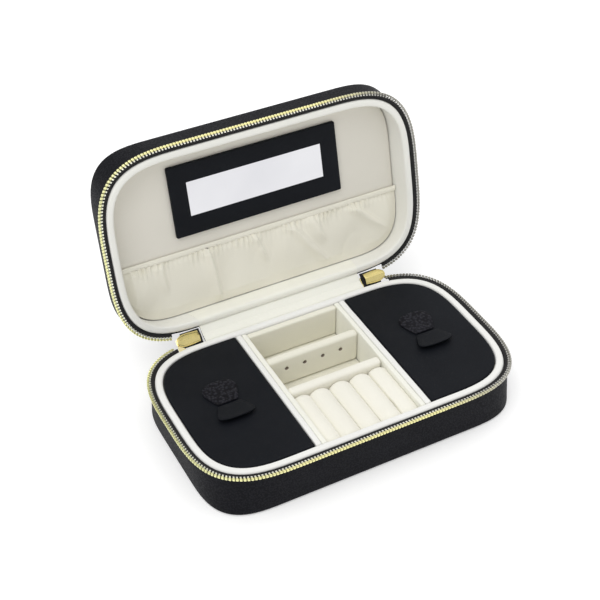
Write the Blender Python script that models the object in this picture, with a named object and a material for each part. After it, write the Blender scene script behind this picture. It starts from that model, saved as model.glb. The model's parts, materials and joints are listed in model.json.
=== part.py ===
"""Zip-around travel jewelry box, lid open: two leather-covered shells, velvet inserts and a mirror lid.

Sizes are in millimetres and become metres where a mesh is made. The origin is the centre of the base's
underside, +X runs along the longer side, +Y towards the hinge and +Z up. The lid's pieces are modelled
in the closed pose and parented to an empty on the hinge axis, which holds the lid open.
"""

from math import atan2, cos, pi, radians, sin

import bmesh
import bpy
from mathutils import Vector

METRES = 0.001
GAP = 0.3  # clearance between pieces that touch

# overall sizes, measured over the zip teeth
WIDTH = 185.0
DEPTH = 107.6
BASE_HEIGHT = 26.0
LID_HEIGHT = 20.7
CORNER = 52.6
CORNER_POWER = 3.3
CORNER_STEPS = 8
CORNER_FLAT = 0.6  # a corner always leaves at least this much of its wall straight
CORNER_FOLLOW = 1.4  # corners of inner layers shrink this much faster than the layers step in
CORNER_SPREAD = (0.55, 0.45)  # how the points along a corner crowd where it turns most
SEAM_GAP = 0.15  # each half stays this far from the plane where the halves meet

# the shells narrow a little towards their closed ends, where the corners are tighter
BASE_END_SETBACK = (3.7, 2.0)
LID_END_SETBACK = (4.0, 1.6)
END_CORNER = 36.5
EDGE_ROUND = 1.8

# wall layers, from the outside in
TEETH_REACH = 2.2  # the teeth stand out this far beyond the leather
TEETH_WIDTH = 1.7
TEETH_HEIGHT = 1.4
TAPE_THICK = 0.45
TAPE_SHELF = 0.6  # drop of the tape's upper face
TAPE_FLANGE = 5.4
TAPE_LAP = 0.2  # the tape's shelf reaches this far beyond the leather, into the teeth
LEATHER = 0.9
SHELL = 1.6
RIM_OUTER = 1.95
RIM_WIDTH = 4.0
RIM_ROUND = 1.0
RIM_FOOT = 2.0  # bevel at the rim's foot, clear of the shell's rounded edge

# hinge and zip ends
HINGE_OPEN = 103.9
HINGE_BEYOND = 0.9  # axis behind the teeth's outer line
HINGE_BELOW = 0.65
ZIP_END = 69.5  # half the length of the back edge that has no tape or teeth, clear of the slider's travel
NOTCH_END = 65.6
NOTCH_DEPTH = 5.0
TAPE_END_X = (48.6, 60.3)
TAPE_END_HEIGHT = 8.2
TAPE_END_INNER = 1.9  # inner face ahead of the hinge axis
SPINE_HALF = 47.0
SPINE_THICK = 0.8
SPINE_LAP = 9.0
SPINE_SAG = (0.3, 0.4)  # the middle of the spine lies this far behind and below its straight line
LINING_THICK = 0.8
LINING_REACH = 3.0  # how far the lining goes down each rim
LINING_TURN = (0.1, 1.2)  # where it leaves the rim: set back, and distance from the seam
LINING_SAG = (0.5, 0.6)
RUN_MARGIN = 1.0  # the last point before a run's end is at least this far from it
SLIDER_X = (50.6, 63.4)
SLIDER_HEIGHT = 7.0
SLIDER_INNER = 4.4  # ridge of the inner plate ahead of the hinge axis
SLIDER_SLOPE = 1.5  # the inner plate falls back this far from its ridge to its edges
SLIDER_PLATE = 0.7
SLIDER_CHANNEL = 3.2
SLIDER_NECK = (2.4, 0.4)  # the neck between the plates starts and ends this far from the outer end
SLIDER_NECK_HALF = 0.8
SLIDER_SINK = 0.2  # how far the slider's own parts reach into each other
LUG_RISE = 2.6
LUG_THICK = 0.9
LUG_HALF = 1.1
LUG_SPACING = 3.4  # between the lugs' inner faces
PULL_PIN_RADIUS = 0.55
PULL_PIN_DROP = 1.0  # below the lugs' tips
PULL_LENGTH = 20.0
PULL_WIDTH = 5.6
PULL_THICK = 1.1
PULL_NECK = 1.9  # the pull is narrow up to this distance from its pin, and clears the lugs
KNUCKLE_WALL = 0.7
STOP_LENGTH = 1.2
STOP_HALF = 1.8
STOP_THICK = 0.8
STOP_MARGIN = 0.3

# base insert
FLOOR_PAD = 1.0
LEDGE_THICK = 2.0
PANEL_THICK = 2.3
PANEL_ROUND = 0.5
PANEL_DROP = 0.4
PANEL_GAP = 0.4
DIVIDER_OUTER = 33.0  # half the distance between the compartment lids' straight edges
DIVIDER_THICK = 3.2
DIVIDER_DROP = 0.6
DIVIDER_ROUND = 0.9
TRAY_WALL = 2.5
TRAY_DROP = 1.4
TRAY_ROUND = 0.7
BAR_ROUND = 1.4
TRAY_FLOOR = 1.0
BACK_WALL_THICK = 3.6
EARRING_BAR_FRONT = 18.0
EARRING_BAR_THICK = 5.0
EARRING_HOLES = 4
EARRING_HOLE_PITCH = 10.8
EARRING_HOLE_RADIUS = 1.1
EARRING_HOLE_STEPS = 12
EARRING_HOLE_DROP = 8.5
EARRING_HOLE_SHIFT = -0.2
RING_DIVIDER_FRONT = -7.0
RING_DIVIDER_THICK = 5.2
RING_ROLLS = 5
ROLL_PITCH = 11.8
ROLL_DROP = 2.4
ROLL_RADIUS = 6.4
ROLL_CROWN = 1.02  # a wide roll's radius, as a share of its half width
# both ends of a roll, from its middle outwards: distance from the end, width left, drop of its top
ROLL_FRONT = ((4.0, 1.0, 0.0), (1.6, 1.0, 0.5), (0.0, 0.86, 2.4))
ROLL_BACK = ((4.0, 1.0, 0.0), (1.4, 1.0, 0.7), (0.0, 0.84, 2.8))
ROLL_STEPS = 8
RING_BED_THICK = 4.8

# pull tabs on the compartment lids
TAB_X = 58.3
TAB_WAIST = 6.2
TAB_WAIST_Y = 0.0
TAB_ROOT = (1.3, 0.3)  # patch and tongue start this far behind and in front of the waist
TAB_SHOULDER = 0.74  # where the straight sides end, as a share of the flap's length
PATCH_LENGTH = 17.5
PATCH_HALF = 9.3
PATCH_THICK = 0.8
TONGUE_LENGTH = 12.3
TONGUE_HALF = 10.0
TONGUE_THICK = 1.0
TONGUE_LIFT = 6.0

# lid fittings
PAD_DROP = 12.5
MIRROR_FRAME = (98.0, 39.5)
MIRROR_VIEW = (78.8, 19.3)
MIRROR_Y = -17.8
MIRROR_FACE = 10.3
MIRROR_LIP = 0.7
MIRROR_THICK = 0.9
MIRROR_OVERLAP = 3.0
POCKET_TOP = 9.6
POCKET_FACE = 11.0
HEM_HEIGHT = 3.0
HEM_FACE = 10.4
HEM_ROUND = 0.5
POCKET_CLEAR = 0.2


def material(name, colour, roughness, metallic=0.0):
    made = bpy.data.materials.new(name)
    made.use_nodes = True
    shader = made.node_tree.nodes["Principled BSDF"]
    shader.inputs["Base Color"].default_value = (*colour, 1.0)
    shader.inputs["Roughness"].default_value = roughness
    shader.inputs["Metallic"].default_value = metallic
    return made


def finish(name, bm, paint, smooth=35):
    """Turn a bmesh in millimetres into an object in metres, faces out."""
    bmesh.ops.remove_doubles(bm, verts=bm.verts, dist=0.001)
    bmesh.ops.recalc_face_normals(bm, faces=bm.faces)
    bmesh.ops.scale(bm, vec=Vector((METRES, METRES, METRES)), verts=bm.verts)
    mesh = bpy.data.meshes.new(name)
    bm.to_mesh(mesh)
    bm.free()
    mesh.shade_smooth()
    mesh.set_sharp_from_angle(angle=radians(smooth))
    made = bpy.data.objects.new(name, mesh)
    made.data.materials.append(paint)
    bpy.context.collection.objects.link(made)
    return made


def bevelled(made, width, segments=2):
    modifier = made.modifiers.new("Rounded edges", "BEVEL")
    modifier.width = width * METRES
    modifier.segments = segments
    modifier.limit_method = "ANGLE"
    modifier.angle_limit = radians(40)
    return made


def subtract(made, cutter):
    """Cut one object out of another and hide the cutter."""
    cutter.hide_render = True
    cutter.display_type = "WIRE"
    modifier = made.modifiers.new("Cut " + cutter.name, "BOOLEAN")
    modifier.operation = "DIFFERENCE"
    modifier.object = cutter


def mix(start, end, share):
    return start + (end - start) * share


# outlines


def corner_point(corner, angle):
    """Point on a corner curve of the given reach, measured from the corner's own centre."""
    across, along = max(0.0, cos(angle)), max(0.0, sin(angle))
    length = (across**CORNER_POWER + along**CORNER_POWER) ** (-1 / CORNER_POWER)
    return corner * across * length, corner * along * length


def corner_angle(step):
    """Angles from 0 to 90 degrees, closer together where the corner turns most."""
    share = 2 * step / CORNER_STEPS - 1
    return radians(45 * (1 + CORNER_SPREAD[0] * share + CORNER_SPREAD[1] * share**3))


def outline(width, depth, corner):
    """Anticlockwise loop of a rectangle with soft corners, starting at its right side."""
    quarter = [corner_point(corner, corner_angle(i)) for i in range(CORNER_STEPS + 1)]
    centre_x, centre_y = width / 2 - corner, depth / 2 - corner
    right_back = [(centre_x + x, centre_y + y) for x, y in quarter]
    left_back = [(-x, y) for x, y in reversed(right_back)]
    left_front = [(-x, -y) for x, y in right_back]
    right_front = [(x, -y) for x, y in reversed(right_back)]
    return right_back + left_back + left_front + right_front


class Half:
    """One half of the box: its height, the way it goes from the seam and its closed end."""

    def __init__(self, name, height, way, setback):
        self.name = name
        self.height = height
        self.way = way
        self.setback = setback

    def size(self, inset, drop):
        """Width, depth and corner of the loop that lies inset from the leather, drop from the seam."""
        share = drop / self.height
        width = mix(WIDTH - 2 * TEETH_REACH, WIDTH - 2 * self.setback[0], share)
        depth = mix(DEPTH - 2 * TEETH_REACH, DEPTH - 2 * self.setback[1], share)
        follow = CORNER_FOLLOW * TEETH_REACH
        limit = min(width, depth) / 2 + TEETH_REACH - CORNER_FLAT
        corner = min(mix(CORNER, END_CORNER + follow, share), limit) - follow
        return width - 2 * inset, depth - 2 * inset, corner - CORNER_FOLLOW * inset

    def loop(self, inset, drop):
        return outline(*self.size(inset, drop))

    def z(self, drop):
        return BASE_HEIGHT + self.way * drop

    def ring(self, inset, drop):
        return [(x, y, self.z(drop)) for x, y in self.loop(inset, drop)]

    def back_y(self, inset, drop, x):
        """y of the loop's back edge at x."""
        width, depth, corner = self.size(inset, drop)
        beyond = max(0.0, abs(x) - (width / 2 - corner)) / corner
        return depth / 2 - corner + corner * (1 - beyond**CORNER_POWER) ** (1 / CORNER_POWER)

    def run(self, inset, drop, end):
        """The loop without its back edge between -end and +end, from right to left by the front."""
        points = self.loop(inset, drop)
        kept = [p for p in points if p[1] < 0 or abs(p[0]) > end + RUN_MARGIN]
        right = [p for p in kept if p[0] > 0]
        left = [p for p in kept if p[0] < 0]
        right.sort(key=lambda p: (-p[1], p[0]) if p[1] > 0 else (-p[1], -p[0]))
        left.sort(key=lambda p: (p[1], p[0]) if p[1] > 0 else (p[1], -p[0]))
        start = (end, self.back_y(inset, drop, end))
        finish_point = (-end, start[1])
        return [(x, y, self.z(drop)) for x, y in [start, *right, *left, finish_point]]


# solids made of loops


def add_loops(bm, loops):
    return [[bm.verts.new(p) for p in loop] for loop in loops]


def join_loops(bm, first, second, closed=True):
    count = len(first)
    for i in range(count if closed else count - 1):
        j = (i + 1) % count
        bm.faces.new((first[i], first[j], second[j], second[i]))


def closed_band(name, loops, paint):
    """Ring-shaped solid: each loop joined to the next and the last to the first."""
    bm = bmesh.new()
    rows = add_loops(bm, loops)
    for first, second in zip(rows, rows[1:] + rows[:1]):
        join_loops(bm, first, second)
    return finish(name, bm, paint)


def open_band(name, runs, paint):
    """Strip-shaped solid with flat ends: runs are the corners of its section, swept."""
    bm = bmesh.new()
    rows = add_loops(bm, runs)
    for first, second in zip(rows, rows[1:] + rows[:1]):
        join_loops(bm, first, second, closed=False)
    bm.faces.new([row[0] for row in rows])
    bm.faces.new([row[-1] for row in rows])
    return finish(name, bm, paint)


def capped(name, loops, paint):
    """Solid whose first and last loops are closed by flat faces."""
    bm = bmesh.new()
    rows = add_loops(bm, loops)
    for first, second in zip(rows, rows[1:]):
        join_loops(bm, first, second)
    bm.faces.new(rows[0])
    bm.faces.new(rows[-1])
    return finish(name, bm, paint)


def prism(name, points, low, high, paint):
    """Upright solid over a flat outline."""
    return capped(name, [[(x, y, low) for x, y in points], [(x, y, high) for x, y in points]], paint)


def block(name, x, y, z, paint, round_by=0.0):
    """Box between pairs of x, y and z."""
    made = prism(name, [(x[0], y[0]), (x[1], y[0]), (x[1], y[1]), (x[0], y[1])], z[0], z[1], paint)
    return bevelled(made, round_by) if round_by else made


def swept_strip(name, section, half_width, paint):
    """Solid with the given closed section in y and z, from -half_width to +half_width."""
    loops = [[(x, y, z) for y, z in section] for x in (-half_width, half_width)]
    return capped(name, loops, paint)


def edge_arc(radius, count=3):
    """Steps of inset and rise around a quarter-round edge, from the wall to the end face."""
    angles = [radians(90 * (i + 1) / count) for i in range(count)]
    return [(radius * (1 - cos(a)), radius * sin(a)) for a in angles]


def tub(name, half, inset, thick, top, paint):
    """Cup-shaped shell with a rounded edge where its wall meets the closed end."""
    end = half.height - inset
    outer_round, inner_round = EDGE_ROUND, max(EDGE_ROUND - thick, 1.0)
    inner = inset + thick
    inner_end = end - thick
    profile = [(inner, top), (inset, top), (inset, end - outer_round)]
    profile += [(inset + step, end - outer_round + rise) for step, rise in edge_arc(outer_round)]
    loops = [half.ring(i, d) for i, d in profile]
    inside = [(inner, inner_end - inner_round)]
    inside += [(inner + step, inner_end - inner_round + rise) for step, rise in edge_arc(inner_round)]
    loops = [half.ring(i, d) for i, d in reversed(inside)] + loops
    return capped(name, loops, paint)


# materials

LEATHER_BLACK = material("Pebbled black leather", (0.016, 0.016, 0.019), 0.55)
PANEL_BLACK = material("Smooth black leather", (0.013, 0.013, 0.015), 0.6)
VELVET = material("Cream velvet", (0.80, 0.77, 0.68), 0.95)
CLOTH = material("Cream pocket cloth", (0.78, 0.74, 0.64), 0.9)
BOARD = material("Moulded board", (0.30, 0.25, 0.20), 0.8)
TAPE = material("Black zip tape", (0.012, 0.012, 0.013), 0.9)
GOLD = material("Gold plating", (0.86, 0.66, 0.27), 0.22, 1.0)
MIRROR = material("Mirror glass", (0.9, 0.92, 0.93), 0.02, 1.0)


def make_half_walls(half):
    """The layers that both halves share: leather, shell, tape, teeth and velvet rim."""
    leather_top = TAPE_SHELF + TAPE_THICK + GAP
    flange = RIM_OUTER - GAP
    flange_end = TAPE_SHELF + TAPE_FLANGE
    shell_inset = LEATHER + GAP
    lower_outer = shell_inset + SHELL + GAP
    bottom = half.height - LEATHER - SHELL - 2 * GAP - GAP
    rim_inner = RIM_OUTER + RIM_WIDTH
    made = {}
    made["leather"] = tub(half.name + "_leather", half, 0.0, LEATHER, leather_top, LEATHER_BLACK)
    made["shell"] = tub(half.name + "_shell", half, shell_inset, SHELL, flange_end + GAP, BOARD)
    tape = [(-TAPE_LAP, TAPE_SHELF), (flange, TAPE_SHELF), (flange, flange_end)]
    tape += [(flange - TAPE_THICK, flange_end), (flange - TAPE_THICK, TAPE_SHELF + TAPE_THICK)]
    tape += [(-TAPE_LAP, TAPE_SHELF + TAPE_THICK)]
    made["tape"] = open_band(half.name + "_zip_tape", [half.run(i, d, ZIP_END) for i, d in tape], TAPE)
    low, high = SEAM_GAP, SEAM_GAP + TEETH_HEIGHT
    teeth = [(-TEETH_REACH, low), (TEETH_WIDTH - TEETH_REACH, low)]
    teeth += [(TEETH_WIDTH - TEETH_REACH, high), (-TEETH_REACH, high)]
    made["teeth"] = open_band(half.name + "_zip_teeth", [half.run(i, d, ZIP_END) for i, d in teeth], GOLD)
    wall = [(RIM_OUTER, flange_end), (RIM_OUTER, SEAM_GAP + RIM_ROUND)]
    near = RIM_ROUND * (1 - cos(pi / 4))
    wall += [(RIM_OUTER + near, SEAM_GAP + near), (RIM_OUTER + RIM_ROUND, SEAM_GAP)]
    wall += [(rim_inner - RIM_ROUND, SEAM_GAP), (rim_inner - near, SEAM_GAP + near)]
    wall += [(rim_inner, SEAM_GAP + RIM_ROUND), (rim_inner, bottom), (lower_outer + RIM_FOOT, bottom)]
    wall += [(lower_outer, bottom - RIM_FOOT - GAP / 2), (lower_outer, flange_end)]
    made["rim"] = closed_band(half.name + "_rim", [half.ring(i, d) for i, d in wall], VELVET)
    made["bottom"] = bottom
    made["inner"] = rim_inner
    return made


def notch_back(half, made):
    """Lower the leather's back edge between the zip ends, where the hinge pieces lie."""
    y = (half.back_y(LEATHER, NOTCH_DEPTH, NOTCH_END) - LEATHER, DEPTH / 2)
    depths = sorted((half.z(0.0), half.z(NOTCH_DEPTH)))
    cutter = block(half.name + "_notch_cutter", (-NOTCH_END, NOTCH_END), y, depths, BOARD)
    subtract(made, cutter)
    return cutter


def well_ring(half, side, inset, drop, inner_x):
    """Side compartment loop: the wall's loop at this drop, cut off by a straight edge at inner_x."""
    width, depth, corner = half.size(inset, drop)
    centre_x, centre_y = width / 2 - corner, depth / 2 - corner
    reach = max(0.0, inner_x - centre_x) / corner
    last = atan2((1 - reach**CORNER_POWER) ** (1 / CORNER_POWER), reach)
    arc = [corner_point(corner, last * corner_angle(i) / radians(90)) for i in range(CORNER_STEPS)]
    back = [(centre_x + x, centre_y + y) for x, y in arc]
    back.append((inner_x, half.back_y(inset, drop, inner_x)))
    front = [(x, -y) for x, y in reversed(back)]
    return [(side * x, y, half.z(drop)) for x, y in front + back]


def side_compartment(side, name, half, floor_drop):
    """Ledge wall, lid panel, tab patch and tab tongue of one side compartment."""
    wall = RIM_OUTER + RIM_WIDTH
    ledge_x = DIVIDER_OUTER + GAP
    drops = (floor_drop - GAP, PANEL_DROP + PANEL_THICK + GAP)
    outer = [well_ring(half, side, wall + GAP, drop, ledge_x) for drop in drops]
    inside = (wall + GAP + LEDGE_THICK, ledge_x + LEDGE_THICK)
    inner = [well_ring(half, side, inside[0], drop, inside[1]) for drop in reversed(drops)]
    closed_band(name + "_ledge", outer + inner, VELVET)
    drops = (PANEL_DROP + PANEL_THICK, PANEL_DROP)
    panel_x = DIVIDER_OUTER + PANEL_GAP
    loops = [well_ring(half, side, wall + PANEL_GAP, drop, panel_x) for drop in drops]
    bevelled(capped(name + "_panel", loops, PANEL_BLACK), PANEL_ROUND)
    stand = half.z(PANEL_DROP) + GAP
    centre = side * TAB_X
    patch = tab_outline(PATCH_LENGTH, PATCH_HALF, 1)
    tongue = tab_outline(TONGUE_LENGTH, TONGUE_HALF, -1)
    place_flat(name + "_tab_patch", patch, centre, stand, PATCH_THICK, LEATHER_BLACK)
    made = place_flat(name + "_tab_tongue", tongue, centre, stand, TONGUE_THICK, PANEL_BLACK)
    made.rotation_euler.x = -radians(TONGUE_LIFT)


def tab_outline(length, half_width, way):
    """Flap that widens from the waist and ends in a shallow arc, on +Y or -Y of its own origin."""
    start = TAB_ROOT[0] if way > 0 else -TAB_ROOT[1]
    shoulder = length * TAB_SHOULDER
    points = [(-TAB_WAIST, start), (-half_width, shoulder * way)]
    for i in range(1, 6):
        angle = pi * i / 6
        points.append((-half_width * cos(angle), (shoulder + (length - shoulder) * sin(angle)) * way))
    points += [(half_width, shoulder * way), (TAB_WAIST, start)]
    return points


def place_flat(name, points, centre, low, thick, paint):
    """Flat piece with its origin at the tab's waist."""
    made = prism(name, points, 0.0, thick, paint)
    made.location = (centre * METRES, TAB_WAIST_Y * METRES, low * METRES)
    return made


def ring_roll(name, x, front, back, low, top):
    """Foam roll with a round back, running front to back between straight sides."""
    half_width = (x[1] - x[0]) / 2
    centre = (x[0] + x[1]) / 2
    radius = max(ROLL_RADIUS, half_width * ROLL_CROWN)
    rise = radius - (radius**2 - half_width**2) ** 0.5
    section = [(half_width, low), (half_width, top - rise)]
    for i in range(1, ROLL_STEPS):
        across = half_width * cos(pi * i / ROLL_STEPS)
        section.append((across, top - radius + (radius**2 - across**2) ** 0.5))
    section += [(-half_width, top - rise), (-half_width, low)]

    def slice_at(y, shrink, sink):
        return [(centre + a * shrink, y, z if z <= low else z - sink) for a, z in section]

    slices = [slice_at(front + away, shrink, sink) for away, shrink, sink in reversed(ROLL_FRONT)]
    slices += [slice_at(back - away, shrink, sink) for away, shrink, sink in ROLL_BACK]
    return capped(name, slices, VELVET)


def make_base(half):
    walls = make_half_walls(half)
    notch_back(half, walls["leather"])
    inner = walls["inner"]
    drops = (walls["bottom"], walls["bottom"] - FLOOR_PAD)
    capped("base_floor_pad", [half.ring(inner + GAP, drop) for drop in drops], VELVET)
    for side, name in ((-1, "left"), (1, "right")):
        side_compartment(side, name, half, drops[1])
    make_tray(half, inner, half.z(drops[1]) + GAP)


def make_tray(half, wall_inset, low):
    """Dividers, centre tray, earring bar and ring rolls between the side compartments."""
    reach = min(half.size(wall_inset, drop)[1] for drop in (0.0, BASE_HEIGHT)) / 2 - GAP
    top = half.z(DIVIDER_DROP)
    tray_top = half.z(TRAY_DROP)
    divider_inner = DIVIDER_OUTER - DIVIDER_THICK
    tray_outer = divider_inner - GAP
    tray_inner = tray_outer - TRAY_WALL
    floor_top = low + TRAY_FLOOR
    for side, name in ((-1, "left"), (1, "right")):
        x = sorted((side * divider_inner, side * DIVIDER_OUTER))
        block(name + "_divider", x, (-reach, reach), (low, top), VELVET, DIVIDER_ROUND)
        x = sorted((side * tray_inner, side * tray_outer))
        block("tray_" + name + "_wall", x, (-reach, reach), (low, tray_top), VELVET, TRAY_ROUND)
    cell = tray_inner - GAP
    block("tray_floor", (-cell, cell), (-reach, reach), (low, floor_top), VELVET)
    stand = floor_top + GAP
    cross = (stand, tray_top)
    block("tray_back_wall", (-cell, cell), (reach - BACK_WALL_THICK, reach), cross, VELVET, TRAY_ROUND)
    bar_y = (EARRING_BAR_FRONT, EARRING_BAR_FRONT + EARRING_BAR_THICK)
    bar = block("earring_bar", (-cell, cell), bar_y, cross, VELVET, BAR_ROUND)
    for index in range(EARRING_HOLES):
        x = EARRING_HOLE_SHIFT + (index - (EARRING_HOLES - 1) / 2) * EARRING_HOLE_PITCH
        subtract(bar, hole_cutter(index, x, bar_y, half.z(EARRING_HOLE_DROP)))
    divider_y = (RING_DIVIDER_FRONT, RING_DIVIDER_FRONT + RING_DIVIDER_THICK)
    block("ring_divider", (-cell, cell), divider_y, cross, VELVET, BAR_ROUND)
    bed_top = stand + RING_BED_THICK
    rolls = (bed_top + GAP, half.z(ROLL_DROP))
    front, back = -reach + GAP, RING_DIVIDER_FRONT - GAP
    block("ring_bed", (-cell, cell), (front, back), (stand, bed_top), VELVET)
    creases = [(index - RING_ROLLS / 2) * ROLL_PITCH for index in range(1, RING_ROLLS)]
    starts = [-cell, *(crease + GAP / 2 for crease in creases)]
    ends = [*(crease - GAP / 2 for crease in creases), cell]
    for index, across in enumerate(zip(starts, ends)):
        ring_roll(f"ring_roll_{index + 1}", across, front, back, *rolls)


def hole_cutter(index, x, y, z):
    """Round cutter along Y for one earring hole."""
    bm = bmesh.new()
    angles = [2 * pi * i / EARRING_HOLE_STEPS for i in range(EARRING_HOLE_STEPS)]
    radius = EARRING_HOLE_RADIUS
    rows = []
    for along in (y[0] - GAP, y[1] + GAP):
        rows.append([(x + radius * cos(a), along, z + radius * sin(a)) for a in angles])
    rows = add_loops(bm, rows)
    join_loops(bm, *rows)
    bm.faces.new(rows[0])
    bm.faces.new(rows[1])
    return finish(f"earring_hole_cutter_{index + 1}", bm, BOARD)


def make_lid(half):
    walls = make_half_walls(half)
    cutter = notch_back(half, walls["leather"])
    inner = walls["inner"]
    made = [walls[key] for key in ("leather", "shell", "tape", "teeth", "rim")]
    made.append(cutter)
    pad = [half.ring(inner + GAP, drop) for drop in (PAD_DROP, walls["bottom"])]
    made.append(capped("lid_back_pad", pad, VELVET))
    made += make_mirror(half)
    made += make_pocket(half, inner)
    return made


def rectangle(size, z):
    x, y = size[0] / 2, size[1] / 2
    return [(x, MIRROR_Y - y, z), (x, MIRROR_Y + y, z), (-x, MIRROR_Y + y, z), (-x, MIRROR_Y - y, z)]


def make_mirror(half):
    """Leather-covered frame with a rebate on its back, and the glass in it."""
    face, lip = half.z(MIRROR_FACE), half.z(MIRROR_FACE + MIRROR_LIP)
    back = half.z(PAD_DROP - GAP)
    glass = [size + 2 * MIRROR_OVERLAP for size in MIRROR_VIEW]
    rebate = [size + 2 * GAP for size in glass]
    sections = [(MIRROR_FRAME, face), (MIRROR_FRAME, back), (rebate, back), (rebate, lip)]
    sections += [(MIRROR_VIEW, lip), (MIRROR_VIEW, face)]
    frame = closed_band("mirror_frame", [rectangle(size, z) for size, z in sections], PANEL_BLACK)
    glass_low = lip + GAP
    x, y = glass[0] / 2, glass[1] / 2
    z = (glass_low, glass_low + MIRROR_THICK)
    plate = block("mirror", (-x, x), (MIRROR_Y - y, MIRROR_Y + y), z, MIRROR)
    return [frame, plate]


def make_pocket(half, inner):
    """Cloth panel across the hinge side of the lid, and the elastic hem along its mouth."""
    wall = half.size(inner + GAP + POCKET_CLEAR, POCKET_FACE)
    reach = wall[0] / 2
    cloth_start = POCKET_TOP + HEM_HEIGHT + GAP
    lower = [p for p in outline(*wall) if p[1] > cloth_start + GAP]
    points = [(reach, cloth_start), *lower, (-reach, cloth_start)]
    back = half.z(PAD_DROP - GAP)
    cloth = prism("pocket", points, half.z(POCKET_FACE), back, CLOTH)
    hem_y = (POCKET_TOP, POCKET_TOP + HEM_HEIGHT)
    hem = block("pocket_hem", (-reach, reach), hem_y, (half.z(HEM_FACE), back), CLOTH, HEM_ROUND)
    return [cloth, hem]


# hinge


def hinge_axis():
    return DEPTH / 2 + HINGE_BEYOND, BASE_HEIGHT - HINGE_BELOW


def opened(y, z, angle=HINGE_OPEN):
    """Where a point of the closed lid goes when the lid turns open by angle degrees."""
    axis_y, axis_z = hinge_axis()
    turn = radians(angle)
    dy, dz = y - axis_y, z - axis_z
    return axis_y + dy * cos(turn) + dz * sin(turn), axis_z - dy * sin(turn) + dz * cos(turn)


def offset_strip(path, thick):
    """Closed section around an open path in y and z, half of thick on each side."""
    left, right = [], []
    for i, point in enumerate(path):
        before, after = path[max(i - 1, 0)], path[min(i + 1, len(path) - 1)]
        along = Vector((after[0] - before[0], after[1] - before[1])).normalized()
        side = Vector((-along.y, along.x)) * thick / 2
        left.append((point[0] + side.x, point[1] + side.y))
        right.append((point[0] - side.x, point[1] - side.y))
    return left + right[::-1]


def make_hinge(base, lid):
    """Outer leather spine and inner velvet strip, shaped as they lie with the lid open."""
    drops = (NOTCH_DEPTH + SPINE_LAP, NOTCH_DEPTH)
    stand_off = GAP + SPINE_THICK / 2
    base_path = [(base.back_y(-stand_off, drop, 0.0), base.z(drop)) for drop in drops]
    closed = [(lid.back_y(-stand_off, drop, 0.0), lid.z(drop)) for drop in reversed(drops)]
    lid_path = [opened(y, z) for y, z in closed]
    first, last = base_path[1], lid_path[0]
    middle = ((first[0] + last[0]) / 2 + SPINE_SAG[0], (first[1] + last[1]) / 2 - SPINE_SAG[1])
    path = base_path + [middle] + lid_path
    swept_strip("spine_leather", offset_strip(path, SPINE_THICK), SPINE_HALF, LEATHER_BLACK)
    rim_y = DEPTH / 2 - TEETH_REACH - RIM_OUTER + GAP + LINING_THICK / 2
    back, turn = LINING_TURN
    start = (rim_y, BASE_HEIGHT - LINING_REACH)
    near = (rim_y + back, BASE_HEIGHT - turn)
    far = opened(rim_y + back, BASE_HEIGHT + turn)
    end = opened(rim_y, BASE_HEIGHT + LINING_REACH)
    centre = ((near[0] + far[0]) / 2 + LINING_SAG[0], (near[1] + far[1]) / 2 - LINING_SAG[1])
    section = offset_strip([start, near, centre, far, end], LINING_THICK)
    swept_strip("hinge_lining", section, SPINE_HALF, VELVET)


def box_piece(name, x, y, z, paint):
    """Plain box between pairs of x, y and z."""
    corners = ((x[0], y[0]), (x[1], y[0]), (x[1], y[1]), (x[0], y[1]))
    return prism(name, corners, z[0], z[1], paint)


def unite(made, others):
    """Join pieces that overlap into one closed body."""
    for other in others:
        other.hide_render = True
        other.display_type = "WIRE"
        modifier = made.modifiers.new("Join " + other.name, "BOOLEAN")
        modifier.operation = "UNION"
        modifier.object = other


def cylinder_z(name, x, y, z, radius, paint, steps=16):
    """Cylinder along Z through x, y between a pair of z."""
    angles = [2 * pi * i / steps for i in range(steps)]
    points = [(x + radius * cos(a), y + radius * sin(a)) for a in angles]
    return prism(name, points, z[0], z[1], paint)


def spread(side, start, end):
    """Pair of x in rising order for a piece from start to end, mirrored for the left side."""
    return sorted((side * start, side * end))


def zip_end(side, name, pivot):
    """Tape end, stop, slider and pull at one end of the zip, in the closed pose about the axis."""
    axis_y, axis_z = hinge_axis()

    def about(half_height):
        return axis_z - half_height, axis_z + half_height

    tape_y = (axis_y - TAPE_END_INNER, axis_y - TAPE_END_INNER + TAPE_THICK)
    tape = block(name + "_tape_end", spread(side, *TAPE_END_X), tape_y, about(TAPE_END_HEIGHT / 2), TAPE)
    stop_start = TAPE_END_X[0] + STOP_MARGIN
    stop_y = (tape_y[1] + GAP, tape_y[1] + GAP + STOP_THICK)
    stop_x = spread(side, stop_start, stop_start + STOP_LENGTH)
    pieces = [tape, block(name + "_zip_stop", stop_x, stop_y, about(STOP_HALF), GOLD)]
    slider, pin_y = make_slider(side, name, about)
    pull = make_pull(side, name, about, pin_y)
    for piece in pieces + slider + pull:
        hang(piece, pivot)


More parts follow.
